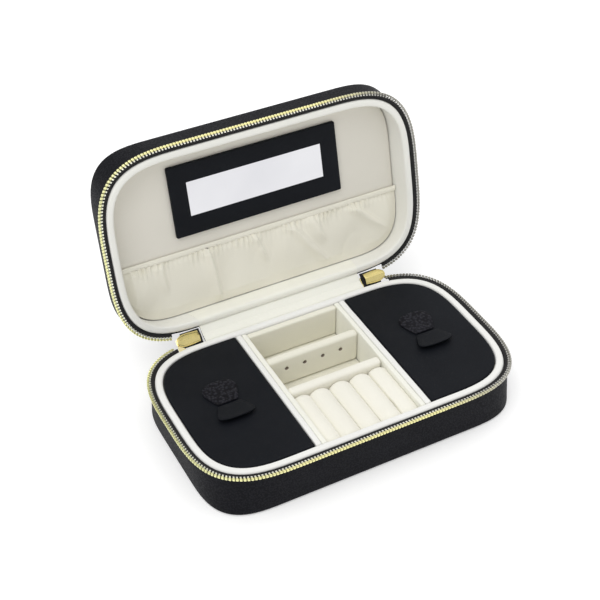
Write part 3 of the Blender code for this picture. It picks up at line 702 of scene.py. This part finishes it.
def rim(half):
    """Velvet-covered padded rim."""
    bottom = half.height - LEATHER - SHELL - 3 * GAP
    lower_outer = LEATHER + SHELL + 2 * GAP
    flange_end = TAPE_SHELF + TAPE_FLANGE
    profile = [(RIM_OUTER, flange_end), (RIM_OUTER, 3.4)]
    over = arc(RIM_ROUND, 7)
    start = SEAM_GAP + RIM_ROUND
    profile += [(RIM_OUTER, start)]
    profile += [(RIM_OUTER + step, start - rise) for step, rise in over]
    profile += [(RIM_INNER - step, start - rise) for step, rise in over[::-1]]
    profile += [(RIM_INNER, start)]
    profile += [(RIM_INNER, d) for d in np.linspace(start + 1.5, bottom, 9)]
    profile += [(lower_outer + 2.0, bottom), (lower_outer, bottom - 2.2), (lower_outer, flange_end)]
    points, faces = loft([half.ring(i, d) for i, d in profile], ring=True)
    return wobble(points, 0.12, 21.0, 3.0 if half.way > 0 else 0.0), faces


for half in (base, lid):
    name, place = half.name, half.place
    piece(name + "_leather_cover", leather_shell(half), "pebbled", name, [name + "_leather"], place, 60)
    made = piece(name + "_woven_tape", zip_tape(half), "tape", name, [name + "_zip_tape"], place)
    tape_uv(made, half)
    piece(name + "_tooth_row", zip_teeth(half, TOOTH_HEAD), "teeth", name, [name + "_zip_teeth"], place, 30)
    piece(name + "_tooth_legs", zip_teeth(half, TOOTH_LEG), "legs", name, (), place, 30)
    paint = "white" if half is base else "rim"
    piece(name + "_velvet_rim", rim(half), paint, name, [name + "_rim"], place, 60)
    shell = frame["nodes"][name + "_shell"].data
    shell.materials.clear()
    shell.materials.append(PAINTS["board"])


# base insert


def soft_block(node, paint, radius, grow=(0.0, 0.0), cell=2.5):
    """Velvet-wrapped board or foam in place of a CAD block; grow closes its gaps across X and at the top."""
    low, high = low_high(node)
    low, high = low - [grow[0], 0, 0], high + [grow[0], 0, grow[1]]
    points, faces = rounded_box(low, high, radius, cell)
    inside = wobble(points, 0.1, 9.0, len(node) * 0.7)
    made = piece(node + "_cover", (np.clip(inside, low, high), faces), paint, "base", [node], sharp=60)
    return made


for side in ("left", "right"):
    soft_block(side + "_divider", "white", 0.8)
    soft_block(f"tray_{side}_wall", "lining", 0.7, (0.12, 0.5))
soft_block("tray_floor", "cream", 0.4)
soft_block("tray_back_wall", "cream", 1.2, (0.12, 0.1))
soft_block("ring_divider", "roll", 1.9, (0.14, 0.2))
soft_block("ring_bed", "cream", 0.6)
bar = soft_block("earring_bar", "cream", 1.8, (0.14, 0.2), 1.6)

HOLE_PITCH = 10.8
HOLE_SHIFT = -0.2
HOLE_DROP = 8.5
HOLE_RADIUS = 1.1
HOLE_STEPS = 20
bar_low, bar_high = low_high("earring_bar")
for index in range(4):
    x = HOLE_SHIFT + (index - 1.5) * HOLE_PITCH
    ends = (bar_low[1] - 1, bar_high[1] + 1)
    loops = [circle(x, base.z(HOLE_DROP), y, HOLE_RADIUS, HOLE_STEPS)[:, [0, 2, 1]] for y in ends]
    cutter = piece(f"hole_cutter_{index}", loft(loops, caps=(True, True)), "board", None)
    modifier = bar.modifiers.new("hole", "BOOLEAN")
    modifier.object = cutter
    modifier.operation = "DIFFERENCE"
    modifier.solver = "EXACT"
    modifier.material_mode = "TRANSFER"
applied(bar)
for cutter in [o for o in bpy.data.objects if o.name.startswith("hole_cutter_")]:
    bpy.data.objects.remove(cutter)


def drops(node):
    """How far below the seam a CAD node's top and bottom lie in the base."""
    low, high = low_high(node)
    return BASE_HEIGHT - high[2], BASE_HEIGHT - low[2]


def floor_pad():
    """Velvet pad on the floor, turned down round its edge."""
    top, bottom = drops("base_floor_pad")
    inset = RIM_INNER + GAP
    loops = [base.ring(inset, bottom), base.ring(inset, top + 0.5), base.ring(inset + 0.2, top + 0.15)]
    loops += [base.ring(inset + more, top) for more in (0.6, 6.0, 14.0, 24.0, 34.0)]
    return loft(loops, caps=(True, True))


piece("base_floor_lining", floor_pad(), "cream", "base", ["base_floor_pad"])


WELL_STEPS = 28


def well_ring(side, inset, drop, inner_x, soft=0.0):
    """Side compartment loop: the wall's curve cut off by a straight edge, with a soft corner there."""
    width, depth, corner = base.size(inset, drop)
    centre_x, centre_y = width / 2 - corner, depth / 2 - corner
    reach = max(0.0, inner_x - centre_x) / corner
    curve = corner_points(atan2(bulge(reach), reach), WELL_STEPS)[:-1]
    back = np.array([centre_x, centre_y]) + corner * curve
    top_y = float(base.back_y(inset, drop, inner_x))
    straight = np.linspace(back[-1, 0], inner_x + soft, 6)[1:-1]
    more = [(x, float(base.back_y(inset, drop, x))) for x in straight]
    turn = np.radians(np.linspace(90, 180, 5))
    more += [(inner_x + soft * (1 + cos(t)), top_y - soft * (1 - sin(t))) for t in turn]
    edge = np.array(list(map(tuple, back)) + more)
    ends = between(edge[-1], edge[-1] * [1, -1], 30)
    loop = np.concatenate([edge, ends, (edge * [1, -1])[::-1]])
    return np.column_stack([side * loop[:, 0], loop[:, 1], np.full(len(loop), base.z(drop))])


LEDGE_THICK = 2.0
PANEL_GAP = 0.4
PANEL_ROUND = 0.75
DIVIDER_OUTER = 33.0


def ledge(side, node):
    """Wall round a side compartment, which its panel rests on."""
    top, bottom = drops(node)
    wall = RIM_INNER + GAP
    x = DIVIDER_OUTER + GAP
    outer = [(0.0, bottom), (0.0, top + 0.7), (0.2, top + 0.2), (0.7, top)]
    inner = [(LEDGE_THICK - more, drop) for more, drop in outer[::-1]]
    loops = [well_ring(side, wall + more, drop, x + more, 0.6) for more, drop in outer + inner]
    return loft(loops, ring=True)


def panel(side, node):
    """Leather-wrapped board with rounded edges."""
    top, bottom = drops(node)
    wall = RIM_INNER + PANEL_GAP
    x = DIVIDER_OUTER + PANEL_GAP
    profile = [(PANEL_ROUND, bottom), (0.2, bottom - 0.2), (0.0, bottom - PANEL_ROUND)]
    profile += [(step, top + PANEL_ROUND - rise) for step, rise in [(0.0, 0.0)] + arc(PANEL_ROUND, 5)]
    loops = [well_ring(side, wall + more, drop, x + more, 1.0) for more, drop in profile]
    loops += [well_ring(side, wall + more, top, x + more, 1.0) for more in (2.0, 4.0, 7.0, 11.0, 15.0, 19.0)]
    return loft(loops, caps=(True, True))


def power(value, exponent):
    """A power that keeps its base's sign."""
    return np.sign(value) * abs(value) ** exponent


def tab_edge(length, half_width, way, start, waist, shoulder_share, steps=22):
    """Outline of one flap, from the waist's left end round to its right end."""
    shoulder = length * shoulder_share
    sides = np.linspace(0, 1, 9)[:-1]
    left = [(-waist - (half_width - waist) * s**0.8, start + (shoulder * way - start) * s) for s in sides]
    turn = pi * np.arange(steps + 1) / steps
    tip = [(-half_width * power(cos(t), 0.75), shoulder + (length - shoulder) * sin(t) ** 0.75) for t in turn]
    tip = [(x, y * way) for x, y in tip]
    right = [(-x, y) for x, y in left[::-1]]
    return np.array(left + tip + right)


def flap(edge, thick, centre, floor, root=0.0, lift=0.0, curl=0.0):
    """Leather flap with rounded edges; root, lift and curl bend it up from its waist line."""
    middle = edge.mean(axis=0)

    def level(shrink, z):
        flat = middle + (edge - middle) * shrink
        bend = np.abs(flat[:, 1] - root)
        rise = np.tan(radians(lift)) * bend + curl * bend**2
        return np.column_stack([flat[:, 0] + centre, flat[:, 1], z + rise + floor])

    loops = [level(0.3, 0.0), level(0.93, 0.0), level(0.985, 0.12), level(1.0, 0.35), level(1.0, thick - 0.3)]
    loops += [level(0.985, thick - 0.08)] + [level(shrink, thick) for shrink in (0.95, 0.7, 0.4, 0.15)]
    return loft(loops, caps=(True, True))


TAB_X = 58.3
TONGUE_ROOT = -0.3
TONGUE_THICK = 0.95
TONGUE_LIFT = 5.0
TONGUE_CURL = 0.006
# each flap's length, half width, way it points, start, half waist, and share of its length up to its shoulder
PATCH = (17.5, 9.3, 1, 1.3, 5.4, 0.6)
TONGUE = (12.3, 10.0, -1, TONGUE_ROOT, 6.2, 0.68)
for side, name in ((-1, "left"), (1, "right")):
    node = name + "_ledge"
    piece(node + "_lining", ledge(side, node), "cream", "base", [node])
    node = name + "_panel"
    piece(node + "_cover", panel(side, node), "smooth", node, [node])
    patch_low, patch_high = low_high(name + "_tab_patch")
    shape = flap(tab_edge(*PATCH), patch_high[2] - patch_low[2], side * TAB_X, patch_low[2])
    piece(name + "_tab_patch_leather", shape, "tab", node, [name + "_tab_patch"])
    bend = (TONGUE_ROOT, TONGUE_LIFT, TONGUE_CURL)
    shape = flap(tab_edge(*TONGUE), TONGUE_THICK, side * TAB_X, patch_low[2], *bend)
    piece(name + "_tab_tongue_leather", shape, "smooth", name + "_tab", [name + "_tab_tongue"])


ROLL_RADIUS = 7.0
ROLL_STEPS = 18
ROLL_END = 4.2
ROLL_SINK = 2.9


def ring_roll(node, index):
    """Foam roll with a round back and soft ends."""
    low, high = low_high(node)
    half_width = (high[0] - low[0]) / 2
    centre = (high[0] + low[0]) / 2
    radius = max(ROLL_RADIUS, half_width * 1.02)
    across = half_width * np.cos(pi * np.arange(ROLL_STEPS + 1) / ROLL_STEPS)
    crown = high[2] - radius + np.sqrt(radius**2 - across**2)
    loops = []
    length = high[1] - low[1]
    end = np.linspace(0, 0.12, 9)
    for share in np.concatenate([end, np.linspace(0.17, 0.83, 15), end + 0.88]):
        near = min(share, 1 - share) * length
        depth = np.clip(1 - near / ROLL_END, 0, 1)
        sink = ROLL_SINK * (1 - np.sqrt(1 - depth**2 * 0.98))
        narrow = 1 - 0.14 * depth**2.5
        z = np.concatenate([[low[2]], crown - sink, [low[2]]])
        x = centre + np.concatenate([[half_width], across, [-half_width]]) * narrow
        loops.append(np.column_stack([x, np.full(len(x), low[1] + share * length), z]))
    points, faces = loft(loops, caps=(True, True))
    return np.clip(wobble(points, 0.16, 11.0, index * 2.3), low, high), faces


for index in range(5):
    node = f"ring_roll_{index + 1}"
    piece(node + "_foam", ring_roll(node, index), "roll", "base", [node], sharp=70)


# lid fittings

PAD_DROP = 12.5
POCKET_TOP = 9.6
HEM_HEIGHT = 3.0
HEM_FACE = 10.4
POCKET_FACE = 11.0
MIRROR_Y = -17.8
MIRROR_FRAME = (98.0, 39.5)
MIRROR_VIEW = (78.8, 19.3)
MIRROR_FACE = 10.3
# how far the frame's leather turns in over the glass, and how deep the glass lies in the frame
MIRROR_LAP = 3.3
MIRROR_SINK = 0.7


def back_pad():
    """Velvet pad on the lid's closed end, tucked in at the wall."""
    bottom = LID_HEIGHT - LEATHER - SHELL - 3 * GAP
    inset = RIM_INNER + GAP
    steps = [(0.0, bottom)]
    steps += [(more, PAD_DROP + sink) for more, sink in ((0.0, 1.6), (0.25, 0.9), (0.8, 0.35), (1.8, 0.08))]
    steps += [(more, PAD_DROP) for more in (4.0, 8.0, 14.0, 20.0, 27.0, 34.0)]
    return loft([lid.ring(inset + more, drop) for more, drop in steps], caps=(True, True))


piece("lid_pad_velvet", back_pad(), "pad", "lid", ["lid_back_pad"], LID, 70)


def mirror_ring(size, drop, corner, more=0.0):
    """Rectangle with round corners about the mirror's centre, more wider on every side."""
    x, y = size[0] / 2 + more - corner, size[1] / 2 + more - corner
    points = []
    for cx, cy, start in ((x, y, 0), (-x, y, 90), (-x, -y, 180), (x, -y, 270)):
        for step in range(6):
            angle = radians(start + 18 * step)
            points.append((cx + corner * cos(angle), MIRROR_Y + cy + corner * sin(angle), lid.z(drop)))
    return np.array(points)


def mirror_frame():
    """Leather-wrapped frame with a round outer edge and a finer inner one."""
    glass = MIRROR_FACE + MIRROR_SINK
    back = PAD_DROP - GAP
    loops = [mirror_ring(MIRROR_VIEW, back, 0.4, MIRROR_LAP), mirror_ring(MIRROR_FRAME, back, 0.9)]
    for step, rise in [(0.0, 0.0)] + arc(0.7, 5):
        loops.append(mirror_ring(MIRROR_FRAME, MIRROR_FACE + 0.7 - rise, 0.9 - step * 0.6, -step))
    for step, rise in arc(0.35, 4)[::-1] + [(0.0, 0.0)]:
        loops.append(mirror_ring(MIRROR_VIEW, MIRROR_FACE + 0.35 - rise, 0.25 + step * 0.5, step))
    loops += [mirror_ring(MIRROR_VIEW, glass, 0.25), mirror_ring(MIRROR_VIEW, glass, 0.4, MIRROR_LAP)]
    return loft(loops, ring=True)


piece("mirror_frame_leather", mirror_frame(), "smooth", "lid", ["mirror_frame"], LID)
plate = [mirror_ring(MIRROR_VIEW, MIRROR_FACE + MIRROR_SINK + drop, 0.4, 2.7) for drop in (0.05, 0.95)]
piece("mirror_plate", loft(plate, caps=(True, True)), "glass", "lid", ["mirror"], LID)


POCKET_INSET = RIM_INNER + GAP + 0.2
POCKET_CELLS = (300, 46)
POCKET_BACK = PAD_DROP - 0.35
POCKET_PROUD = 4.8
POCKET_LEAST = 8.0


def pocket_reach(y):
    """Half width of the pocket's opening at y, up to the lid's wall."""
    width, depth, corner = lid.size(POCKET_INSET, POCKET_FACE)
    beyond = np.clip((y - (depth / 2 - corner)) / corner, 0, 1)
    return width / 2 - corner + corner * bulge(beyond)


# gathered stretches along the hem: from, to
GATHERED = ((-77.0, -57.0), (-44.0, -26.0), (-19.0, -3.0), (11.0, 23.0), (32.0, 47.0), (53.0, 65.0))
# folds in the loose cloth: where they start and end below the hem, width and height
FOLDS = (
    ((-33.5, 0.5), (-30.0, 33.0), 1.9, 2.9),
    ((-61.0, 3.0), (-59.5, 16.0), 1.8, 1.7),
    ((-5.5, 2.0), (-1.0, 15.0), 1.7, 2.0),
    ((18.0, 4.0), (34.0, 27.0), 2.2, 2.4),
    ((29.0, 1.0), (34.0, 14.0), 2.6, 2.3),
    ((57.0, 4.0), (71.0, 18.0), 2.6, 2.3),
)
PLEAT_PITCH = 2.9


def pocket_folds(x, down, depth):
    """How far the gathered cloth stands proud of the pad, in millimetres."""
    share = down / depth
    near = max(np.clip(min(x - low, high - x) / 4.0 + 0.5, 0, 1) for low, high in GATHERED)
    waver = 0.5 * noise.noise(Vector((x / 9.0, 0.0, 5.0)))
    waver += 0.12 * noise.noise(Vector((x / 3.1, down / 12.0, 8.0)))
    pleat = 0.5 + 0.5 * sin(2 * pi * (x / PLEAT_PITCH + waver))
    length = 4.6 + 2.5 * noise.noise(Vector((x / 4.0, 7.0, 2.0)))
    gather = (0.5 + 1.3 * near) * pleat**1.5 * np.exp(-((down / max(length, 2.6)) ** 2.2))
    loose = 1.8 * (noise.noise(Vector((x / 17.0 + down / 60.0, down / 26.0, 2.0))) + 0.3)
    fold = 0.0
    for (x0, d0), (x1, d1), width, tall in FOLDS:
        along = np.clip((down - d0) / (d1 - d0), -0.2, 1.4)
        away = (x - x0 - (x1 - x0) * along) / width
        ridge = np.exp(-1.6 * away * away) if away > 0 else np.exp(-0.35 * away * away)
        fade = np.clip(min((along + 0.2) * 4.0, (1.4 - along) * 1.3), 0, 1)
        fold += tall * ridge * fade * fade * (3 - 2 * fade)
    bulge = 1.2 * sin(pi * min(1.0, share * 1.02)) ** 0.7
    held = min(1.0, (1 - share) * 6.0)
    free = min(1.0, 0.3 + down / 5.0)
    return gather + (max(0.0, loose) + fold + bulge) * held * free


def pocket_cloth():
    """The gathered pocket from its hem down to the crease at the lid's wall."""
    columns, rows = POCKET_CELLS
    top = POCKET_TOP + HEM_HEIGHT * 0.75
    width = float(pocket_reach(top)) - 0.05
    loops = []
    for row in range(rows):
        loop = []
        for a in np.linspace(-1, 1, columns):
            x = a * width
            depth = float(lid.back_y(POCKET_INSET, POCKET_FACE, x)) - top if abs(a) < 1 else 0.0
            depth = max(depth, POCKET_LEAST)
            down = row / (rows - 1) * depth
            proud = pocket_folds(x, down, depth) * min(1.0, (1 - abs(a)) * 14.0)
            loop.append((x, top + down, lid.z(POCKET_BACK - min(proud, POCKET_PROUD))))
        loops.append(np.array(loop))
    return loft(loops, closed=False)


def pocket_hem():
    """Elastic hem along the pocket's mouth: a flat tube that ripples a little with the gathers."""
    width = float(pocket_reach(POCKET_TOP)) - 0.1
    loops = []
    for x in np.linspace(-width, width, 320):
        ripple = 0.1 * sin(2 * pi * (x / PLEAT_PITCH)) + 0.25 * noise.noise(Vector((x / 7.0, 2.0, 4.0)))
        face = HEM_FACE + 0.35 - ripple * 0.5
        middle, reach = (face + POCKET_BACK) / 2, (POCKET_BACK - face) / 2
        ring = []
        for step in range(16):
            angle = 2 * pi * step / 16
            y = POCKET_TOP + HEM_HEIGHT / 2 * (1 - power(cos(angle), 0.6)) + 0.1 * ripple
            ring.append((x, y, lid.z(middle - reach * power(sin(angle), 0.8))))
        loops.append(np.array(ring))
    return loft(loops, caps=(True, True))


cloth_shape = pocket_cloth()
cloth = piece("pocket_gathered", cloth_shape, "cloth", "lid", ["pocket"], LID, 80)
hem = piece("pocket_elastic_hem", pocket_hem(), "cloth", "lid", ["pocket_hem"], LID, 80)


# hinge

SPINE_HALF = 47.0
HINGE_HALF = 48.3


def opened(y, z):
    """A closed-pose place on the lid, in y and z, with the lid open."""
    moved = LID @ Vector((0.0, y, z))
    return moved.y, moved.z


def smooth_path(points, count):
    """Catmull-Rom curve through points in y and z."""
    pts = [np.array(p, float) for p in points]
    pts = [2 * pts[0] - pts[1]] + pts + [2 * pts[-1] - pts[-2]]
    out = []
    spans = len(pts) - 3
    for k in range(count):
        t = k / (count - 1) * spans
        i = min(int(t), spans - 1)
        t -= i
        a, b, c, d = pts[i : i + 4]
        square, cube = 2 * a - 5 * b + 4 * c - d, 3 * b - a - 3 * c + d
        out.append(0.5 * (2 * b + (c - a) * t + square * t * t + cube * t**3))
    return np.array(out)


def strip(path, thick, half_width, columns, dip):
    """Closed strip of fabric: a path in y and z, swept across x; dip says how far it moves at an x."""
    along = np.gradient(path, axis=0)
    along /= np.linalg.norm(along, axis=1)[:, None]
    side = np.column_stack([-along[:, 1], along[:, 0]]) * thick / 2
    section = np.concatenate([path + side, (path - side)[::-1]])
    loops = []
    for x in np.linspace(-half_width, half_width, columns):
        loops.append(np.column_stack([np.full(len(section), x), section + dip(x)]))
    return loft(loops, caps=(True, True))


def leaf(name, shape, path, paint, node, half_width, held_steps, rests_on):
    """Sheet between base and lid, made in the open pose and riding on no body; held_steps is not used."""
    made = piece(name, shape, paint, None, [node], None, 70)
    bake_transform(made)
    length = np.linalg.norm(np.diff(path, axis=0), axis=1).sum()


def lining():
    """Velvet strip across the hinge, from the base's rim to the lid's, with a soft crease."""
    y = DEPTH / 2 - TEETH_REACH - RIM_OUTER
    start = [(y + 0.35, BASE_HEIGHT - 2.2), (y + 0.3, BASE_HEIGHT - 1.1), (y + 1.0, BASE_HEIGHT - 0.35)]
    end = [opened(y, 2 * BASE_HEIGHT - z) for y, z in start[::-1]]
    first, last = np.array(start[-1]), np.array(end[0])
    down = np.array([last[1] - first[1], first[0] - last[0]])
    down /= np.linalg.norm(down)
    crease = ((0.25, 0.4), (0.46, 0.62), (0.52, 0.8), (0.58, 0.62), (0.8, 0.36))
    inner = [first + (last - first) * share + down * depth for share, depth in crease]
    path = smooth_path(start + inner + end, 44)

    def dip(x):
        return np.array([0.10, 0.12]) * noise.noise(Vector((x / 14.0, 1.0, 2.0)))

    return strip(path, 0.5, HINGE_HALF, 60, dip), path


rims = ["base_velvet_rim", "lid_velvet_rim"]
leaf("hinge_velvet", *lining(), "lining", "hinge_lining", HINGE_HALF, 14, rims)


def spine():
    """Leather spine over the outside of the hinge."""
    off = GAP + 0.4
    drops = np.linspace(14.0, 5.0, 4)
    start = [(float(base.back_y(-off, d, 0.0)), base.z(d)) for d in drops]
    end = [opened(float(lid.back_y(-off, d, 0.0)), lid.z(d)) for d in drops[::-1]]
    first, last = np.array(start[-1]), np.array(end[0])
    middle = (first + last) / 2 + np.array([0.3, -0.4])
    path = smooth_path(start + [middle] + end, 50)
    return strip(path, 0.8, SPINE_HALF, 40, lambda x: 0.0), path


covers = ["base_leather_cover", "lid_leather_cover"]
leaf("spine_cover", *spine(), "pebbled", "spine_leather", SPINE_HALF, 17, covers)


def facing():
    """Velvet that turns over the lid's rim at the hinge and ends in a seam at the pocket's crease."""
    profile = [(RIM_OUTER + 0.5, 0.45), (RIM_OUTER + 1.1, 0.0), (RIM_INNER - 1.1, 0.0)]
    profile += [(RIM_INNER - 0.3, 0.4), (RIM_INNER + 0.12, 1.5)]
    profile += [(RIM_INNER + 0.14, drop) for drop in (4.0, 8.0, 11.6)]
    inner = [(i - 0.4 if n > 2 else i, d + 0.4 if n < 4 else d) for n, (i, d) in enumerate(profile)]
    loops = []
    for share in np.linspace(-1, 1, 64):
        ring = []
        for inset, drop in profile + inner[::-1]:
            x = share * (HINGE_HALF + 0.18 * drop)
            ring.append((x, float(lid.back_y(inset, drop, x)), lid.z(drop)))
        loops.append(np.array(ring))
    return loft(loops, caps=(True, True))


made = piece("lid_hinge_facing", facing(), "lining", "lid", (), LID, 70)


# zip ends, measured from the hinge axis; the outer sides lie away from the box

AY, AZ = AXIS.y, AXIS.z
TAPE_END_X = (49.3, 60.3)
STOP_X = (48.9, 50.1)
SLIDER_X = (50.8, 63.2)
SLIDER_MIDDLE = 57.0
SLIDER_HALF = 3.45
SLIDER_CELLS = (26, 15)
PLATE_THICK = 0.7
RIDGE = 4.4
SLOPE = 1.5
# the channel for the teeth lies between the two plates
CHANNEL = 3.2
TOP = CHANNEL + 2 * PLATE_THICK - RIDGE
LUG_HALF = 1.1
PIN_Y = AY + TOP + 1.6
PULL_LENGTH = 18.1
PULL_HALF = (1.35, 2.75)


def slider_plate(side, ridge, slope, way):
    """Roofed plate with a rounded mouth; way says on which side its thickness lies."""
    columns, rows = SLIDER_CELLS
    loops = []
    for share in np.linspace(0, 1, columns):
        x = SLIDER_X[0] + (SLIDER_X[1] - SLIDER_X[0]) * share
        mouth = max(0.0, (share - 0.62) / 0.38)
        half = SLIDER_HALF * (0.86 + 0.14 * min(1.0, share * 2.2)) * (1 - mouth**2.6 * 0.62)
        edge = min(share, 1 - share) * (columns - 1)
        face, back = [], []
        for a in np.linspace(-1, 1, rows):
            lip = 0.22 if abs(a) > 0.99 or edge < 0.5 else (0.06 if abs(a) > 0.85 or edge < 1.5 else 0.0)
            y = AY + ridge + slope * abs(a * half) / SLIDER_HALF
            face.append((side * x, y + way * lip, AZ + a * half))
            back.append((side * x, y + way * (PLATE_THICK - lip), AZ + a * half))
        loops.append(np.array(face + back[::-1]))
    points, faces = loft(loops)
    for start in (0, (columns - 1) * 2 * rows):
        for j in range(rows - 1):
            opposite = start + 2 * rows - 1 - j
            faces.append((start + j, start + j + 1, opposite - 1, opposite))
    return points, faces


def end_box(side, x, y, z, radius, cell):
    """Rounded block on one side of the box, from its spans along X, Y and Z."""
    spans = sorted(side * place for place in x), (AY + y[0], AY + y[1]), sorted((AZ + z[0], AZ + z[1]))
    low, high = zip(*spans)
    return rounded_box(low, high, radius, cell)


def tube(x, y, half, outer, inner):
    """Ring along Z with rounded rims."""
    soft = 0.15
    wall = ((outer - soft, -half), (outer, soft - half), (outer, half - soft), (outer - soft, half))
    rims = wall + ((inner, half), (inner, -half))
    return loft([circle(x, y, AZ + z, radius, 28) for radius, z in rims], ring=True)


def rod(x, y, half, radius):
    """Round bar along Z with softened ends."""
    ends = ((0.7, -half), (1.0, 0.15 - half), (1.0, half - 0.15), (0.7, half))
    return loft([circle(x, y, AZ + z, radius * share, 20) for share, z in ends], caps=(True, True))


def pull_blade(x, y):
    """Tapering pull with rounded edges and a round tip."""
    share = np.linspace(0, 1, 41)
    half = PULL_HALF[0] + (PULL_HALF[1] - PULL_HALF[0]) * np.clip((share - 0.06) / 0.3, 0, 1) ** 0.8
    half *= np.sqrt(1 - np.clip((share - 0.84) / 0.16, 0, 1) ** 2)
    long_side = np.column_stack([y + share * PULL_LENGTH, half])
    edge = np.concatenate([long_side, (long_side * [1, -1])[::-1][1:]])
    middle = edge.mean(axis=0)
    loops = []
    for shrink, off in ((0.5, -0.55), (0.92, -0.55), (1.0, -0.35), (1.0, 0.35), (0.92, 0.55), (0.5, 0.55)):
        flat = middle + (edge - middle) * [1 - (1 - shrink) * 0.3, shrink]
        loops.append(np.column_stack([np.full(len(flat), x + off), flat[:, 0], AZ + flat[:, 1]]))
    return loft(loops, caps=(True, True))


for side, name in ((-1, "left"), (1, "right")):
    shape = end_box(side, TAPE_END_X, (-1.9, -1.45), (-4.1, 4.1), 0.2, 0.8)
    made = piece(name + "_tape_end_weave", shape, "tape", name + "_zip_end", [name + "_tape_end"], ZIP, 60)
    back = ZIP.inverted()
    flat = [back @ (vertex.co / MM) for vertex in made.data.vertices]
    weave_uv(made, [(p.x, p.z) for p in flat])
    shape = end_box(side, STOP_X, (-1.15, -0.35), (-1.8, 1.8), 0.3, 0.6)
    piece(name + "_stop_metal", shape, "gold", name + "_zip_end", [name + "_zip_stop"], ZIP)

    plates = [slider_plate(side, -RIDGE, SLOPE, 1), slider_plate(side, TOP, 0.0, -1)]
    neck = end_box(side, (61.0, 63.0), (0.3 - RIDGE, TOP - 0.3), (-0.8, 0.8), 0.3, 0.8)
    lug_x = (SLIDER_MIDDLE - LUG_HALF, SLIDER_MIDDLE + LUG_HALF)
    lug_y = (TOP - 0.2, TOP + 2.6)
    lugs = [end_box(side, lug_x, lug_y, (way * 1.7, way * 2.6), 0.35, 0.7) for way in (-1, 1)]
    pin = rod(side * SLIDER_MIDDLE, PIN_Y, 2.0, 0.55)
    shape = joined([*plates, neck, *lugs, pin])
    piece(name + "_slider_metal", shape, "gold", name + "_slider", [name + "_slider"], ZIP, 25)
    knuckle = tube(side * SLIDER_MIDDLE, PIN_Y, 1.4, 1.55, 0.85)
    blade = pull_blade(side * SLIDER_MIDDLE, PIN_Y + 1.1)
    piece(name + "_pull_metal", joined([knuckle, blade]), "gold", name + "_pull", [name + "_pull"], ZIP, 35)
